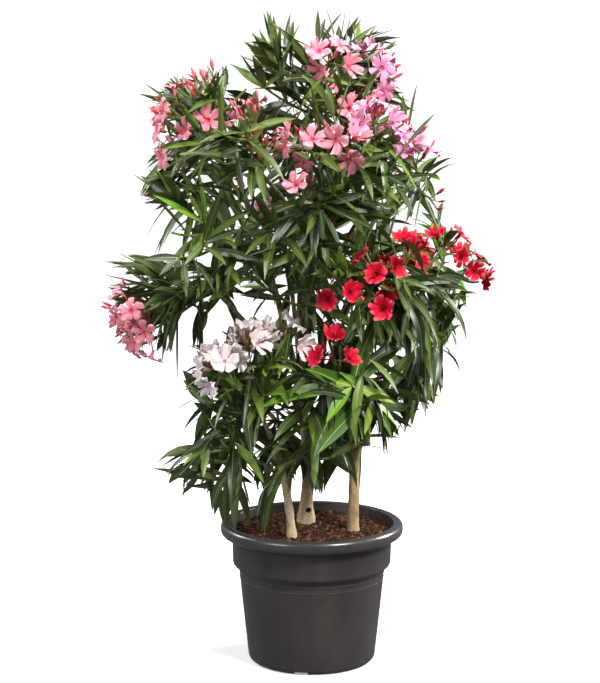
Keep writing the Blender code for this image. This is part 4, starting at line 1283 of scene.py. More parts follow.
def grow_leaves(mass, shoots, space, rng, settings):
    """The leaves of a mass: first the whorls at all tips, then the ones below."""
    made = []
    ladders = [whorl_places(shoot, settings.spacing) for shoot in shoots]
    for step in range(WHORLS_MOST):
        for shoot, ladder in zip(shoots, ladders):
            if step >= len(ladder):
                continue
            root, along = ladder[step]
            number = min(step + (HEAD_WHORL if shoot.blooms or shoot.buds else 0), WHORLS_MOST - 1)
            side = along.orthogonal().normalized()
            other = along.cross(side)
            for n in range(WHORL):
                angle = math.tau * (n + 0.5 * (step % 2)) / WHORL + rng.uniform(-SPOKE_VARIES, SPOKE_VARIES)
                spoke = side * math.cos(angle) + other * math.sin(angle)
                leaf = grow_leaf(root, along, spoke, number, shoot.look, mass, space, rng, settings)
                if leaf is not None:
                    made.append(leaf)
                if len(made) == LEAVES_MOST:
                    return made
    return made


class Grown:
    """A mass as it grows: its space and draws, its shoots and flowers, and then its leaves."""

    def __init__(self, name, hearts):
        self.mass = MASSES[name]
        self.rng = random.Random(name)
        self.space = Space(name, hearts)
        self.shoots = grow_shoots(self.mass, self.space, self.rng)
        self.blooms = []
        self.buds = []
        for shoot in self.shoots:
            blooms, buds = grow_head(shoot, self.rng)
            self.blooms += blooms
            self.buds += buds
        self.leaves = []


@functools.cache
def crown():
    """Grows every mass: first its shoots and flowers, then, out of the sight of all flowers, its leaves."""
    hearts = hearts_of_masses()
    made = {name: Grown(name, hearts) for name in MASSES}
    sights = []
    for grown in made.values():
        sights += sights_of(grown.blooms, BLOOM_ROOM, BLOOM_SIGHT)
        sights += sights_of(grown.buds, BUD_ROOM, BUD_SIGHT)
    for grown in made.values():
        grown.space.keep_clear(np.array(sights))
        settings = bpy.context.scene.oleander_leaf
        grown.leaves = grow_leaves(grown.mass, grown.shoots, grown.space, grown.rng, settings)
    return made


# ---------------------------------------------------------------- the pot


def make_pot(settings):
    """Draws the pot out ring by ring and cuts the drainage notches through its foot ring."""
    roll = (settings.rim_radius - RIM_ROLL, settings.rim_top - RIM_ROLL)
    skirt = (roll[0], roll[1] - RIM_SKIRT)
    lip = (roll[0] - 0.72 * RIM_ROLL, roll[1] + 0.66 * RIM_ROLL)
    slope = (NECK_RADIUS - FOOT_RADIUS) / NECK_Z
    ledge = NECK_RADIUS + LEDGE
    taper, rise = NECK_RADIUS - FOOT_RADIUS, NECK_Z - 0.025
    wall = [(FOOT_RADIUS + taper * n / 6, FOOT_ROUND + rise * n / 6) for n in (2, 4)]
    profile = [
        (PAD_RADIUS * 0.3, 0.0),
        (PAD_RADIUS, 0.0),
        (PAD_RADIUS + CHANNEL_SLOPE, CHANNEL_DEPTH),
        (CHANNEL_RADIUS - CHANNEL_SLOPE, CHANNEL_DEPTH),
        (CHANNEL_RADIUS, 0.0),
        *arc((FOOT_RADIUS - FOOT_ROUND, FOOT_ROUND), FOOT_ROUND, -90, -5, 7),
        *wall,
        *arc((NECK_RADIUS - 0.0002, NECK_Z - LEDGE_HEIGHT - BEAD_DROP), BEAD, -80, 80, 4),
        (NECK_RADIUS, NECK_Z - LEDGE_HEIGHT),
        (ledge, NECK_Z - LEDGE_HEIGHT + LEDGE),
        (ledge, NECK_Z),
        *arc((ledge + COLLAR_COVE, NECK_Z + 0.003), COLLAR_COVE, 180, 130, 3),
        *arc((COLLAR_RADIUS - COLLAR_DRAFT - COLLAR_ROUND, COLLAR_FOOT_Z), COLLAR_ROUND, -35, 0, 4),
        (COLLAR_RADIUS, skirt[1] - RIM_ROLL - 0.004),
        *arc(skirt, RIM_ROLL, -140, 0, 10),
        *arc(roll, RIM_ROLL, 6, 122, 10),
        *arc(lip, LIP_ROUND, 70, 190, 5),
        (COLLAR_RADIUS - WALL, roll[1] - RIM_ROLL),
        (COLLAR_RADIUS - COLLAR_DRAFT - WALL, COLLAR_FOOT_Z),
        (NECK_RADIUS - WALL, NECK_Z),
        (FOOT_RADIUS + slope * FLOOR - WALL, FLOOR),
    ]
    pot = grown_rings(profile, POT_SIDES)
    middle = (FOOT_RADIUS + CHANNEL_RADIUS) / 2
    for number in range(NOTCHES):
        deselect_all()
        turn = NOTCH_TURN + number * math.tau / NOTCHES
        bpy.ops.mesh.primitive_cube_add(
            size=1,
            location=(middle * math.sin(turn), -middle * math.cos(turn), 0),
            rotation=(0, 0, turn),
            scale=(NOTCH_WIDTH, FOOT_RADIUS - CHANNEL_RADIUS + 4 * CHANNEL_SLOPE, 2 * NOTCH_HEIGHT),
        )
        cutter = bpy.context.object
        bpy.ops.object.transform_apply(location=True, rotation=True, scale=True)
        deselect_all()
        pot.select_set(True)
        bpy.context.view_layer.objects.active = pot
        apply_modifier(pot, "BOOLEAN", object=cutter, operation="DIFFERENCE")
        bpy.data.objects.remove(cutter)
    pot.data.materials.append(polypropylene(settings, rim=False))
    pot.data.materials.append(polypropylene(settings, rim=True))
    for face in pot.data.polygons:
        face.material_index = int(face.center.z > skirt[1] - RIM_ROLL - 0.002)
    pot.data.shade_smooth()
    pot.data.set_sharp_from_angle(angle=math.radians(38))
    finished(pot, "nursery_pot", "pot", "pot")


# ---------------------------------------------------------------- the soil


def make_soil(settings):
    """A crumbly bed, drawn out ring by ring and roughened, with its rim turned down along the pot's wall."""
    radius = settings.soil_radius - 0.0005
    level = settings.soil_level
    profile = [(radius * (n + 0.5) / SOIL_RINGS, level) for n in range(SOIL_RINGS)]
    soil = grown_rings([*profile, (radius, level - 0.001), (radius, level - 0.020)], 150)
    points = places(soil.data)
    for index in np.flatnonzero(points[:, 2] > level - 0.002):
        x, y, _ = points[index]
        swell = noise.fractal((x * 28, y * 28, 3.0), 1.0, 2.0, 4)
        crumble = noise.fractal((x * 150, y * 150, 7.0), 0.8, 2.2, 5)
        points[index, 2] += SWELL_HEIGHT * swell + CRUMBLE_HEIGHT * crumble - SOIL_SUNK
    move_to(soil.data, points)
    soil.data.materials.append(peat("damp_peat", tuple(settings.peat), tuple(settings.fibre), 0.10))
    soil.data.shade_smooth()
    finished(soil, "soil_bed", "soil", "soil")


def crumb_shape():
    """A lump of peat."""
    deselect_all()
    bpy.ops.mesh.primitive_ico_sphere_add(subdivisions=2, radius=1)
    lump = bpy.context.object
    points = places(lump.data)
    for index, point in enumerate(points):
        points[index] = point * (0.85 + 0.45 * noise.noise(Vector(point) * 1.7))
    move_to(lump.data, points)
    return Shape(lump)


def fibre_shape():
    """A bit of root or bark fibre, along its own +Z."""
    deselect_all()
    bpy.ops.mesh.primitive_cylinder_add(vertices=5, radius=0.05, depth=2)
    bpy.ops.object.mode_set(mode="EDIT")
    bpy.ops.mesh.subdivide(number_cuts=2)
    bpy.ops.object.mode_set(mode="OBJECT")
    bit = bpy.context.object
    points = places(bit.data)
    points[:, 0] += 0.16 * points[:, 2] ** 2
    move_to(bit.data, points)
    return Shape(bit)


def scattered(settings, count, margin, rng):
    """Seeded places on the soil, clear of the pot's wall by a margin and clear of the stems."""
    feet = [Vector(spec[0]) for spec in STEMS.values()]
    made = []
    while len(made) < count:
        angle = rng.uniform(0, math.tau)
        reach = (settings.soil_radius - margin) * math.sqrt(rng.random())
        spot = Vector((reach * math.cos(angle), reach * math.sin(angle)))
        if min((spot - foot).length for foot in feet) > 0.012:
            made.append((spot.x, spot.y, settings.soil_level - 0.0010))
    return np.array(made)


def make_crumbs(settings):
    """Loose crumbs and fibres scattered over the soil, half sunk in it."""
    rng = random.Random(5)
    dark, pale = tuple(settings.peat), tuple(settings.fibre)
    finishes = [
        peat("wet_peat_crumbs", dark, pale, 0.0),
        peat("dry_peat_crumbs", tuple(v * 0.55 for v in pale), pale, 0.25),
        peat("bark_fibres", tuple(v * 0.9 for v in pale), linear("#a8794f"), 0.20),
    ]
    lump, bit = crumb_shape(), fibre_shape()
    lumps = scattered(settings, LUMPS, 0.006, rng)
    bits = scattered(settings, FIBRES, 0.016, rng)
    sizes = [0.0012 + 0.0046 * rng.random() ** 3 for _ in lumps]
    turned = [Vector([rng.gauss(0, 1) for _ in range(3)]).normalized() for _ in lumps]
    lying = [Vector((rng.gauss(0, 1), rng.gauss(0, 1), rng.gauss(0, 0.18))).normalized() for _ in bits]
    tones = np.array([rng.choices((0, 1), (0.6, 0.4))[0] for _ in lumps])
    lumps = placed(lump, lumps, turned, [rng.uniform(0, 6) for _ in lumps], sizes)
    lengths = [rng.uniform(0.003, 0.008) for _ in bits]
    bits = placed(bit, bits + (0, 0, 0.0022), lying, [0.0] * FIBRES, lengths)
    batches = [
        (lump, lumps, np.repeat(tones[:, None], len(lump.totals), 1)),
        (bit, bits, np.full((FIBRES, len(bit.totals)), 2)),
    ]
    finished(laid_out(batches, finishes), "soil_crumbs", "soil")


# ---------------------------------------------------------------- stems and boughs


def limb_mesh(name, sides, spacing):
    """A bark-covered limb: a bevelled curve made a mesh, closed at both ends, then roughened."""
    points, radii = limb_lines()[name]
    deselect_all()
    bpy.ops.curve.primitive_bezier_curve_add()
    limb = bpy.context.object
    curve = limb.data
    curve.splines.clear()
    steps = max(6, int(sum((b - a).length for a, b in zip(points, points[1:])) / spacing))
    spline = curve.splines.new("POLY")
    spline.points.add(steps)
    for n in range(steps + 1):
        place = n / steps * (len(points) - 1)
        first = min(int(place), len(points) - 2)
        part = place - first
        before, after = points[max(first - 1, 0)], points[min(first + 2, len(points) - 1)]
        start, end = points[first], points[first + 1]
        # A smooth curve through the line's own points
        centre = (
            start * (2 * part**3 - 3 * part**2 + 1)
            + (end - before) / 2 * (part**3 - 2 * part**2 + part)
            + end * (-2 * part**3 + 3 * part**2)
            + (after - start) / 2 * (part**3 - part**2)
        )
        spline.points[n].co = (*centre, 1)
        spline.points[n].radius = radii[first] + (radii[first + 1] - radii[first]) * part
    curve.dimensions = "3D"
    curve.twist_mode = "MINIMUM"
    curve.bevel_depth = 1.0
    curve.bevel_resolution = sides // 2 - 2
    curve.use_fill_caps = True
    limb.select_set(True)
    bpy.ops.object.convert(target="MESH")
    bpy.ops.object.mode_set(mode="EDIT")
    return merged(0.00001)


def roughen(limb, depth, coarse):
    """Pushes the bark in and out: lengthways ridges, and a slow lumpiness."""
    points = places(limb.data)
    normals = np.empty(len(points) * 3, np.float32)
    limb.data.vertices.foreach_get("normal", normals)
    normals = normals.reshape(-1, 3)
    for index, (x, y, z) in enumerate(points):
        ridge = noise.fractal((x * 330, y * 330, z * 75), 1.0, 2.0, 3)
        lump = noise.fractal((x * 60, y * 60, z * 38), 1.0, 2.0, 2)
        points[index] += normals[index] * (depth * 0.55 * ridge + coarse * lump)
    move_to(limb.data, points)


def bare_knot(stem):
    """Sinks a knot hole into a stem's front, with a callus round its edge and the rotten heart inside,
    coloured with painted shade.
    """
    points = places(stem.data)
    for index, (x, y, z) in enumerate(points):
        away = math.hypot(x - KNOT.x, z - KNOT.z) / KNOT_RADIUS
        if y < KNOT.y + KNOT_BACK and away < CALLUS_REACH:
            sink = KNOT_DEPTH * (1 - away**3) if away < 1 else 0.0
            callus = CALLUS_HEIGHT * math.exp(-(((away - CALLUS_RADIUS) / CALLUS_WIDTH) ** 2))
            points[index, 1] = y + (sink - callus)
    move_to(stem.data, points)
    # The faces deep in the hole get the near-black of rotten wood and painted shade.
    for face in stem.data.polygons:
        off = math.hypot(face.center.x - KNOT.x, face.center.z - KNOT.z)
        face.material_index = int(off < KNOT_RADIUS * ROT_AND_SHADE_SHARE and face.center.y < KNOT.y + ROT_AND_SHADE_BACK)


def make_stems(settings):
    """The three old stems. The middle one is a swollen stump with a knot hole in its front."""
    tones = {
        "stem_left": ("old_oleander_bark", (1.0, 1.0, 1.0)),
        "stem_middle": ("old_stump_bark", (1.0, 0.96, 0.90)),
        "stem_right": ("old_brown_bark", (0.70, 0.62, 0.52)),
    }
    barks = {name: old_bark(settings, *tone) for name, tone in tones.items()}
    # The hole's near-black: rotten wood and painted shade.
    dark = rot_and_painted_shade()
    for name, bark in barks.items():
        stem = limb_mesh(name, 28, 0.0022)
        roughen(stem, settings.relief, 0.0016 if name == "stem_middle" else 0.0006)
        stem.data.materials.append(bark)
        stem.data.materials.append(dark)
        if name == "stem_middle":
            bare_knot(stem)
        stem.data.shade_smooth()
        finished(stem, "bark_" + name, "bark", name)


def make_boughs(settings):
    """The boughs, each a tapering limb that starts inside its parent."""
    green = young_bark(settings)
    for name in BOUGHS:
        bough = limb_mesh(name, 14, 0.0045)
        roughen(bough, settings.relief * 0.5, 0.0004)
        bough.data.materials.append(green)
        bough.data.shade_smooth()
        finished(bough, "bark_" + name, "bark", name)


# ---------------------------------------------------------------- shoots and stalks


def tubes(lines):
    """Closed tubes as (points, faces) from (points, radii, sides)."""
    vertices, faces = [], []
    for points, radii, sides in lines:
        first = len(vertices)
        for point, radius, (side, other) in zip(points, radii, cross_frames(points)):
            for n in range(sides):
                angle = math.tau * n / sides
                vertices.append(point + (side * math.cos(angle) + other * math.sin(angle)) * radius)
        for ring in range(len(points) - 1):
            for n in range(sides):
                low = first + ring * sides
                m = (n + 1) % sides
                faces.append((low + n, low + m, low + sides + m, low + sides + n))
        faces.append(tuple(first + n for n in range(sides))[::-1])
        faces.append(tuple(len(vertices) - sides + n for n in range(sides)))
    return vertices, faces


def tube_piece(lines, finish):
    vertices, faces = tubes(lines)
    mesh = bpy.data.meshes.new("tubes")
    mesh.from_pydata(vertices, [], faces)
    mesh.materials.append(finish)
    return linked(mesh, math.radians(50))


def make_shoots():
    """The green wood: each mass's stem, and its shoots and twigs, which taper to their tips."""
    finish = stalk("green_shoot_bark", linear("#6c8238"), linear("#5c6b34"))
    thinning = SHOOT_TIP_RADIUS - SHOOT_RADIUS
    taper = [SHOOT_RADIUS + thinning * n / SHOOT_STEPS for n in range(SHOOT_STEPS + 1)]
    for group, masses in GROUPS.items():
        lines = []
        for name in masses:
            limb = MASSES[name].limb
            foot, hub, _ = stem_of_mass(limb)
            radii = [limb_lines()[limb][1][-1], STEM_MIDDLE_RADIUS, STEM_END_RADIUS]
            lines.append(([foot, foot.lerp(hub, 0.5), hub], radii, 8))
            lines += [(shoot.line, taper, 7) for shoot in crown()[name].shoots]
        of_group(tube_piece(lines, finish), "shoots", group)


def make_stalks():
    """The stalks of blooms and buds. Every third one bows up on its way, and every third one down."""
    flushed = stalk("flower_stalk", linear("#7b7f3c"), linear("#a4512f"))
    for group, masses in GROUPS.items():
        lines = []
        for name in masses:
            grown = crown()[name]
            for flowers, thick, back in ((grown.blooms, 0.0013, 0.013), (grown.buds, 0.0009, 0.008)):
                for number, (foot, place, facing, _) in enumerate(flowers):
                    end = place - facing * back
                    bend = foot + (end - foot) * 0.45 + UP * (0.003 * ((number % 3) - 1))
                    line = bezier(foot - facing * 0.001, bend, end, 3)
                    lines.append((line, [thick * 1.25, thick, thick, thick], 5))
        of_group(tube_piece(lines, flushed), "stalks", group)


# ---------------------------------------------------------------- leaves


def blade_outline(share):
    """Half the width of an oleander blade against its widest: a short stalk, then a lance with a long tip."""
    body = math.sin(math.pi * share**0.92) if 0 < share < 1 else 0.0
    return max(0.10 * (1 - share) ** 3 if share < 0.2 else 0.0, body)


RIB = 0.065  # half the midrib's width, against half the leaf's
UPPER_COLUMNS = (-1.0, -0.54, -RIB, RIB, 0.54, 1.0)
LOWER_COLUMNS = (-1.0, -RIB, RIB, 1.0)
LEAF_THICK = 0.06  # against half the width
# Roles of a leaf's faces. The rest of the upper side has role 0.
MIDRIB, UNDERSIDE = 1, 2


def leaf_shape():
    """A closed blade along +Y: two halves that rise from the midrib above, and one plain side below. Its
    width and thickness are shares of half a leaf's width."""
    deselect_all()
    rows = len(BLADE_ROWS) - 1
    across = len(UPPER_COLUMNS) - 1
    bpy.ops.mesh.primitive_grid_add(x_subdivisions=across, y_subdivisions=rows, size=2)
    bpy.ops.object.mode_set(mode="EDIT")
    bpy.ops.mesh.select_all(action="DESELECT")
    bpy.ops.mesh.primitive_grid_add(x_subdivisions=len(LOWER_COLUMNS) - 1, y_subdivisions=rows, size=2)
    bpy.ops.mesh.flip_normals()
    bpy.ops.object.mode_set(mode="OBJECT")
    blade = bpy.context.object
    points = places(blade.data)
    for index, (x, y, _) in enumerate(points):
        is_upper = index < len(UPPER_COLUMNS) * len(BLADE_ROWS)
        columns = UPPER_COLUMNS if is_upper else LOWER_COLUMNS
        column = columns[round((x + 1) / 2 * (len(columns) - 1))]
        share = BLADE_ROWS[round((y + 1) / 2 * rows)]
        half = blade_outline(share)
        if abs(column) > RIB:
            width = column * half
        else:
            width = column * (1.15 - 0.75 * share) * min(1, half * 8)
        sunk = 0.0 if is_upper or abs(column) == 1 else LEAF_THICK * min(1, half * 4)
        points[index] = (width, share, abs(column) ** 1.3 * half - sunk)
    move_to(blade.data, points)
    for face in blade.data.polygons:
        offsets = [points[vertex][0] for vertex in face.vertices]
        if face.index >= across * rows:
            face.material_index = UNDERSIDE
        elif max(map(abs, offsets)) < 0.2 and abs(sum(offsets)) < 0.02:
            face.material_index = MIDRIB
    bpy.ops.object.mode_set(mode="EDIT")
    return Shape(merged(0.0005, outwards=False))


def blades(shape, leaves):
    """The points of all leaves: the modelled blade bent along each leaf's own middle line."""
    rows = np.abs(shape.points[:, 1, None] - BLADE_ROWS[None]).argmin(1)
    middle, direction = blade_lines(leaves, BLADE_ROWS)
    across = leaves[:, None, ACROSS] + 1e-4
    across = units(across - direction * (direction * across).sum(2, keepdims=True))
    normal = np.cross(across, direction)
    half = leaves[:, WIDTH, None, None] / 2
    x = shape.points[None, :, 0, None]
    # The halves fold up from the midrib, and the blade's thickness stays as it is.
    lift = np.abs(x) ** 1.15 * leaves[:, FOLD, None, None]
    sunk = np.minimum(shape.points[None, :, 2, None] - np.abs(x) ** 1.3, 0)
    thick = np.maximum(sunk, -LEAF_THICK) * (np.abs(x) < 0.4)
    return middle[:, rows] + across[:, rows] * x * half + normal[:, rows] * (lift + thick) * half


def make_leaves(settings):
    """All leaves, in a piece for each group of masses, which stands for those masses."""
    shape = leaf_shape()
    gloss = {"deep": 0.34, "middle": 0.36, "light": 0.38, "broad": 0.33, "fresh": 0.33, "young": 0.40}
    finishes = [leaf_face("waxed_leaf_" + key, getattr(settings, key), gloss[key], 0.12) for key in gloss]
    midribs, undersides = len(finishes), len(finishes) + 2
    finishes.append(leaf_face("leaf_midrib", linear("#84944f"), 0.45, 0.0))
    finishes.append(leaf_face("leaf_midrib_fresh", linear("#a8bf60"), 0.42, 0.0))
    finishes.append(leaf_face("matt_leaf_underside", settings.under, 0.62, 0.2))
    finishes.append(leaf_face("matt_leaf_underside_fresh", linear("#688a34"), 0.58, 0.2))
    for group, masses in GROUPS.items():
        leaves = np.array([leaf for name in masses for leaf in crown()[name].leaves])
        tint = leaves[:, TINT].astype(int)
        fresh = (tint >= BROAD).astype(int)
        by_role = np.stack([tint, midribs + fresh, undersides + fresh], 1)
        batch = (shape, blades(shape, leaves), by_role[:, shape.finish])
        of_group(laid_out([batch], finishes), "leaves", group, *masses)


# ---------------------------------------------------------------- blooms and buds


PETALS = 5
BUD_TWIST = 1.6  # radians along a bud
# Roles of a bloom's faces. Petals have role 0.
FUNNEL, FRINGE, CALYX = 1, 2, 3
FUNNEL_SIDES = 10
FUNNEL_FACES = FUNNEL_SIDES + 2
# Rings of small cones, the throat's fringe and the calyx: how many, radius, size, height, lean
FRINGE_RING = (10, 0.15, 0.040, -0.04, -0.35)
CALYX_RING = (5, 0.09, 0.070, -0.60, 0.50)
CONE_FACES = 4
UNEVEN_SEED = 1


def bloom_shape(width, ruffle, cup, seed):
    """A five-petalled bloom of radius 1 that faces +Z: overlapping, slightly skewed petals round a funnel,
    with a fringed throat and a calyx under it."""
    deselect_all()
    bpy.ops.mesh.primitive_grid_add(x_subdivisions=5, y_subdivisions=6, size=2)
    flower = bpy.context.object
    points = places(flower.data)
    for index, (x, y, _) in enumerate(points):
        out = (y + 1) / 2
        half = width * (0.26 + 0.74 * math.sin(out * math.pi * 0.53) ** 1.4) * (1 - 0.16 * out**8)
        reach = 0.13 + 0.87 * out * (1 - 0.13 * x * x * out**2) + 0.03 * out**3 * math.sin(3 * x + seed)
        wave = ruffle * out**2 * math.sin(4.5 * x + seed)
        wave += ruffle * 0.6 * out**3 * math.cos(9 * x + 2 * seed)
        height = cup * (out - 0.15) ** 1.5 if out > 0.15 else 0.0
        height += -0.16 * out**4 - 0.17 * (1 - out) ** 2 + 0.10 * x * out
        points[index] = (x * half + 0.16 * out**2, reach, height + wave)
    move_to(flower.data, points)
    apply_modifier(flower, "SOLIDIFY", thickness=0.022, offset=0)
    bpy.ops.object.mode_set(mode="EDIT")
    bpy.ops.mesh.select_all(action="SELECT")
    for _ in range(PETALS - 1):
        bpy.ops.mesh.duplicate()
        bpy.ops.transform.rotate(value=math.tau / PETALS, orient_axis="Z", center_override=(0, 0, 0))
    bpy.ops.mesh.select_all(action="DESELECT")
    # The funnel: a cup drawn in to a narrow tube
    middle = (0, 0, -0.26)
    bpy.ops.mesh.primitive_cylinder_add(vertices=FUNNEL_SIDES, radius=0.19, depth=0.24, location=middle)
    bpy.ops.mesh.select_all(action="DESELECT")
    bpy.ops.object.mode_set(mode="OBJECT")
    petal_points = len(points) * 2 * PETALS
    coordinates = places(flower.data)
    for index in range(petal_points, len(coordinates)):
        if coordinates[index, 2] < -0.3:
            coordinates[index] *= (0.40, 0.40, 1.70)
    move_to(flower.data, coordinates)
    for face in flower.data.polygons:
        in_funnel = face.index >= len(flower.data.polygons) - FUNNEL_FACES
        if in_funnel:
            face.material_index = FUNNEL
        face.select = in_funnel and face.normal.z > 0.9
    bpy.ops.object.mode_set(mode="EDIT")
    bpy.ops.mesh.select_mode(type="FACE")
    bpy.ops.mesh.inset(thickness=0.025)
    bpy.ops.mesh.extrude_region_move(TRANSFORM_OT_translate={"value": (0, 0, -0.20)})
    bpy.ops.transform.resize(value=(0.35, 0.35, 1))
    bpy.ops.mesh.select_all(action="DESELECT")
    for count, radius, size, height, lean in (FRINGE_RING, CALYX_RING):
        for number in range(count):
            turn = math.tau * (number + 0.25) / count
            bpy.ops.mesh.primitive_cone_add(
                vertices=3,
                radius1=size,
                depth=0.26,
                location=(radius * math.cos(turn), radius * math.sin(turn), height),
                rotation=(0, lean, turn),
            )
    bpy.ops.object.mode_set(mode="OBJECT")
    fringe_end = len(flower.data.polygons) - CALYX_RING[0] * CONE_FACES
    fringe_start = fringe_end - FRINGE_RING[0] * CONE_FACES
    for face in flower.data.polygons:
        if face.index >= fringe_start:
            face.material_index = FRINGE if face.index < fringe_end else CALYX
    # A little unevenness, so that no two petals are alike. Vector noise is seeded by the clock unless told.
    noise.seed_set(UNEVEN_SEED)
    coordinates = places(flower.data)
    for index, point in enumerate(coordinates):
        shift = noise.noise_vector(Vector(point) * 1.9 + Vector((seed, 0, 0)))
        coordinates[index] += np.array(shift) * 0.12 * min(1.0, float(np.hypot(point[0], point[1])))
    move_to(flower.data, coordinates)
    return Shape(flower)


def bud_shape():
    """An unopened, twisted bud of length 1 along +Z, with its calyx."""
    deselect_all()
    bpy.ops.mesh.primitive_uv_sphere_add(segments=7, ring_count=7, radius=0.5, location=(0, 0, 0.5))
    bpy.ops.object.transform_apply(location=True)
    bud = bpy.context.object
    points = places(bud.data)
    for index, (x, y, z) in enumerate(points):
        swell = 0.22 + 0.14 * math.sin(z * math.pi)
        turn = z * BUD_TWIST
        ridge = 1 + 0.12 * math.cos(3 * math.atan2(y, x) + turn)
        taper = 1 - 0.35 * z
        points[index] = (
            (x * math.cos(turn) - y * math.sin(turn)) * swell * ridge * taper,
            (x * math.sin(turn) + y * math.cos(turn)) * swell * ridge * taper,
            z,
        )
    move_to(bud.data, points)
    faces = len(bud.data.polygons)
    bpy.ops.object.mode_set(mode="EDIT")
    for number in range(PETALS):
        turn = math.tau * number / PETALS
        bpy.ops.mesh.primitive_cone_add(
            vertices=3,
            radius1=0.06,
            depth=0.34,
            location=(0.075 * math.cos(turn), 0.075 * math.sin(turn), 0.12),
            rotation=(0, 0.25, turn),
        )
    bpy.ops.object.mode_set(mode="OBJECT")
    for face in bud.data.polygons:
        face.material_index = int(face.index >= faces)
    return Shape(bud)


def petal_finishes(settings):
    """Materials for blooms, in the order that BLOOM_LOOKS gives: each look's petal, funnel and fringe, and
    then the sepals that all share."""
    colours = {
        "pink": (settings.pink, "#ec7f8c", "#e0697a"),
        "lilac": (settings.lilac, "#e684b8", "#d86aa8"),
        "red": (settings.red, "#a00822", "#88041a"),
        "white": (settings.white, "#eed5d8", "#e6c3ca"),
    }
    made = []
    for key, (colour, throat, vein) in colours.items():
        made.append(petal(key + "_petal", tuple(colour), linear(throat), linear(vein)))
        made.append(petal(key + "_funnel", linear(throat), linear(vein), linear(vein)))
        made.append(stalk(key + "_throat_fringe", linear(vein), tuple(colour)))
    made.append(stalk("sepals", linear("#8a5a35"), linear("#6f7f38")))
    return made


BLOOM_SIZES = {"pink": 1.0, "red": 0.85, "white": 1.0}
BLOOM_LOOKS = {"pink": 0, "lilac": 3, "red": 6, "white": 9}
SEPALS = 12
BLOOM_SHARP = 1.0  # radians, past which an edge of a bloom or bud shows as sharp
# The shapes of each plant's blooms: petal width, ruffle, cup, seed
BLOOM_SHAPES = {
    "pink": ((0.44, 0.12, 0.10, 1.0), (0.41, 0.15, 0.42, 2.7), (0.43, 0.17, 0.75, 3.3)),
    "red": ((0.55, 0.15, 0.30, 4.1), (0.51, 0.18, 0.66, 5.6)),
    "white": ((0.47, 0.16, 0.16, 6.2), (0.45, 0.20, 0.48, 7.9), (0.44, 0.20, 0.80, 9.1)),
}


def make_blooms(settings):
    """The open blooms, a piece for each group of masses. The shapes of each plant's blooms are dealt out."""
    finishes = petal_finishes(settings)
    shapes = {plant: [bloom_shape(*spec) for spec in specs] for plant, specs in BLOOM_SHAPES.items()}
    rng = random.Random(21)
    for group, masses in GROUPS.items():
        batches = []
        plant = group.split("_")[0]
        blooms = [bloom for name in masses for bloom in crown()[name].blooms]
        for which, shape in enumerate(shapes[plant]):
            own = blooms[which :: len(shapes[plant])]
            scales = [settings.radius * rng.uniform(0.88, 1.06) * BLOOM_SIZES[plant] for _ in own]
            turns = [rng.uniform(0, 6) for _ in own]
            copies = placed(shape, [bloom[1] for bloom in own], [bloom[2] for bloom in own], turns, scales)
            looks = np.array([BLOOM_LOOKS["lilac" if bloom[3] == "lilac" else plant] for bloom in own])
            roles = np.where(shape.finish == CALYX, SEPALS, looks[:, None] + shape.finish)
            batches.append((shape, copies, roles))
        of_group(laid_out(batches, finishes, BLOOM_SHARP), "blooms", group)


BUD_SIZES = (0.012, 0.015, 0.019, 0.023)
BUD_SUNK = 0.009  # how far a bud starts down its stalk


def make_buds(settings):
    """Unopened buds, from tiny ones to those about to unfold. The white plant's are faded, brown calyces."""
    bud = bud_shape()
    finishes = [
        stalk("coral_bud", tuple(settings.bud), linear("#f0808a")),
        stalk("crimson_bud", linear("#b80f2a"), linear("#e23a52")),
        stalk("withered_calyx", linear("#7a5a38"), linear("#a08458")),
        stalk("bud_calyx", linear("#8b3a2c"), linear("#7a7a36")),
    ]
    rng = random.Random(8)
    for group, masses in GROUPS.items():
        buds = [item for name in masses for item in crown()[name].buds]
        tone = {"pink": 0, "red": 1, "white": 2}[group.split("_")[0]]
        sizes = [rng.choice(BUD_SIZES) for _ in buds]
        starts = [place - facing * BUD_SUNK for _, place, facing, _ in buds]
        copies = placed(bud, starts, [item[2] for item in buds], [rng.uniform(0, 6) for _ in buds], sizes)
        roles = np.tile(np.where(bud.finish == 1, 3, tone), (len(buds), 1))
        of_group(laid_out([(bud, copies, roles)], finishes, BLOOM_SHARP), "buds", group)


# ---------------------------------------------------------------- the stage


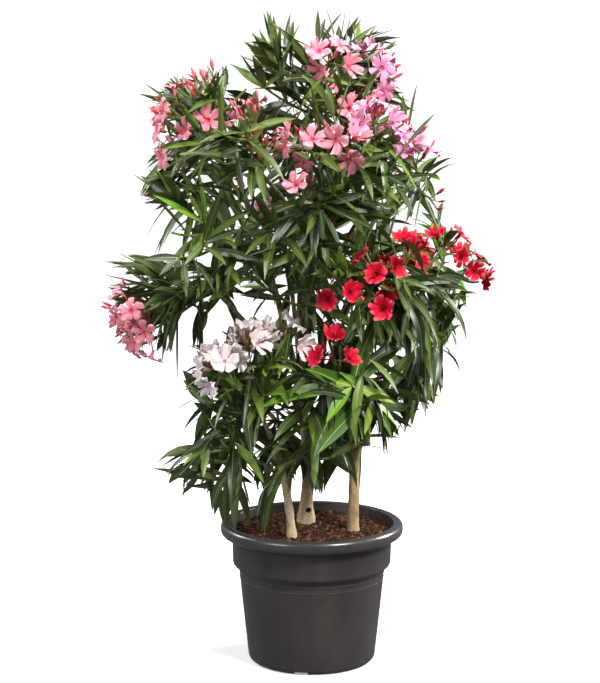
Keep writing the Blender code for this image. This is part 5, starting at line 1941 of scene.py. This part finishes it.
def make_stage(settings):
    """A pale floor that curves up far away on all sides and glows with painted light, most far off, soft
    light from large panels, and the camera.
    """
    profile = [(2.0, 0.0), (5.0, 0.0), (8.0, 0.0), *arc((8.0, 3.0), 3.0, -75, 0, 8), (11.0, 6.0)]
    floor = grown_rings(profile, 96, closed=False)
    floor.name = "studio_floor"
    paint, tree, shader = material("matt_studio_paint", tuple(settings.floor), 0.9)
    # Far from the plant the sweep glows with painted light, which stands in for a lamp behind it, so that it
    # fades to plain white.
    place = node(tree, "ShaderNodeTexCoord")
    reach = node(tree, "ShaderNodeVectorMath", {0: place.outputs["Object"]}, operation="LENGTH")
    painted_glow = ramp(tree, reach.outputs["Value"], 1.2, 6.0, to_min=0.30, to_max=0.85)
    tree.links.new(painted_glow, shader.inputs["Emission Strength"])
    shader.inputs["Emission Color"].default_value = (1, 1, 1, 1)
    floor.data.materials.append(paint)
    floor.data.shade_smooth()
    # The plant is lit by its lamps alone, as between black flags: the sweep would wash its shadows out.
    floor.visible_diffuse = False
    floor.visible_glossy = False

    scene = bpy.context.scene
    world = bpy.data.worlds.new("studio_air")
    scene.world = world
    world.use_nodes = True
    world.node_tree.nodes["Background"].inputs["Color"].default_value = (*linear("#f7f9ff"), 1)
    world.node_tree.nodes["Background"].inputs["Strength"].default_value = 0.22
    for name, place, size, power in (
        ("key", (2.2, -2.6, 3.4), 1.0, 225),
        ("fill", (-2.8, -3.0, 2.0), 1.6, 70),
        ("left_edge", (-3.0, 1.2, 2.2), 1.2, 80),
        ("right_edge", (3.0, 1.2, 1.8), 1.2, 135),
        ("top", (0.0, -0.4, 4.0), 1.6, 145),
    ):
        lamp = bpy.data.lights.new(name, "AREA")
        lamp.shape = "SQUARE"
        lamp.size = size
        lamp.energy = power
        holder = bpy.data.objects.new(name, lamp)
        scene.collection.objects.link(holder)
        holder.location = place
        holder.rotation_euler = (Vector((0, 0, 0.6)) - Vector(place)).to_track_quat("-Z", "Y").to_euler()
    scene.view_settings.view_transform = "Standard"

    camera = bpy.data.objects.new("camera", bpy.data.cameras.new("camera"))
    scene.collection.objects.link(camera)
    camera.data.lens = 95.5
    camera.data.sensor_width = 36.0
    camera.location = (EYE[0], -settings.distance, settings.height)
    camera.rotation_euler = (math.pi / 2 - settings.tilt, 0, 0)
    scene.camera = camera


# ---------------------------------------------------------------- operators and panel


class OLEANDER_OT_pot(bpy.types.Operator):
    """Build the nursery pot"""

    bl_idname = "oleander.pot"
    bl_label = "Pot"

    def execute(self, context):
        make_pot(context.scene.oleander_pot)
        return {"FINISHED"}


class OLEANDER_OT_soil(bpy.types.Operator):
    """Build the soil and the loose crumbs on it"""

    bl_idname = "oleander.soil"
    bl_label = "Soil"

    def execute(self, context):
        make_soil(context.scene.oleander_pot)
        make_crumbs(context.scene.oleander_pot)
        return {"FINISHED"}


class OLEANDER_OT_stems(bpy.types.Operator):
    """Build the three old stems"""

    bl_idname = "oleander.stems"
    bl_label = "Stems"

    def execute(self, context):
        make_stems(context.scene.oleander_bark)
        return {"FINISHED"}


class OLEANDER_OT_boughs(bpy.types.Operator):
    """Build the boughs"""

    bl_idname = "oleander.boughs"
    bl_label = "Boughs"

    def execute(self, context):
        make_boughs(context.scene.oleander_bark)
        return {"FINISHED"}


class OLEANDER_OT_shoots(bpy.types.Operator):
    """Grow the green shoots and twigs"""

    bl_idname = "oleander.shoots"
    bl_label = "Shoots"

    def execute(self, context):
        make_shoots()
        return {"FINISHED"}


class OLEANDER_OT_leaves(bpy.types.Operator):
    """Grow the leaves"""

    bl_idname = "oleander.leaves"
    bl_label = "Leaves"

    def execute(self, context):
        make_leaves(context.scene.oleander_leaf)
        return {"FINISHED"}


class OLEANDER_OT_blooms(bpy.types.Operator):
    """Grow the flower heads: stalks, blooms and buds"""

    bl_idname = "oleander.blooms"
    bl_label = "Flowers"

    def execute(self, context):
        make_stalks()
        make_blooms(context.scene.oleander_bloom)
        make_buds(context.scene.oleander_bloom)
        return {"FINISHED"}


class OLEANDER_OT_stage(bpy.types.Operator):
    """Set up floor, light and camera"""

    bl_idname = "oleander.stage"
    bl_label = "Stage"

    def execute(self, context):
        make_stage(context.scene.oleander_stage)
        return {"FINISHED"}


OPERATORS = (
    OLEANDER_OT_pot,
    OLEANDER_OT_soil,
    OLEANDER_OT_stems,
    OLEANDER_OT_boughs,
    OLEANDER_OT_shoots,
    OLEANDER_OT_leaves,
    OLEANDER_OT_blooms,
    OLEANDER_OT_stage,
)
SETTINGS = {
    "oleander_pot": OleanderPotSettings,
    "oleander_bark": OleanderBarkSettings,
    "oleander_leaf": OleanderLeafSettings,
    "oleander_bloom": OleanderBloomSettings,
    "oleander_stage": OleanderStageSettings,
}


class OLEANDER_PT_panel(bpy.types.Panel):
    """Lists the plant's pieces and their settings"""

    bl_idname = "OLEANDER_PT_panel"
    bl_label = "Potted Oleander"
    bl_space_type = "VIEW_3D"
    bl_region_type = "UI"
    bl_category = "Oleander"

    def draw(self, context):
        for operator in OPERATORS:
            self.layout.operator(operator.bl_idname)
        for name, group in SETTINGS.items():
            box = self.layout.box()
            box.label(text=group.__doc__)
            for key in group.__annotations__:
                box.prop(getattr(context.scene, name), key)


def register():
    for cls in (*SETTINGS.values(), *OPERATORS, OLEANDER_PT_panel):
        bpy.utils.register_class(cls)
    for name, group in SETTINGS.items():
        setattr(bpy.types.Scene, name, bpy.props.PointerProperty(type=group))


def unregister():
    for name in SETTINGS:
        delattr(bpy.types.Scene, name)
    for cls in (OLEANDER_PT_panel, *reversed(OPERATORS), *reversed(SETTINGS.values())):
        bpy.utils.unregister_class(cls)


def main():
    register()
    for operator in OPERATORS:
        category, name = operator.bl_idname.split(".")
        getattr(getattr(bpy.ops, category), name)()


if __name__ == "__main__":
    main()
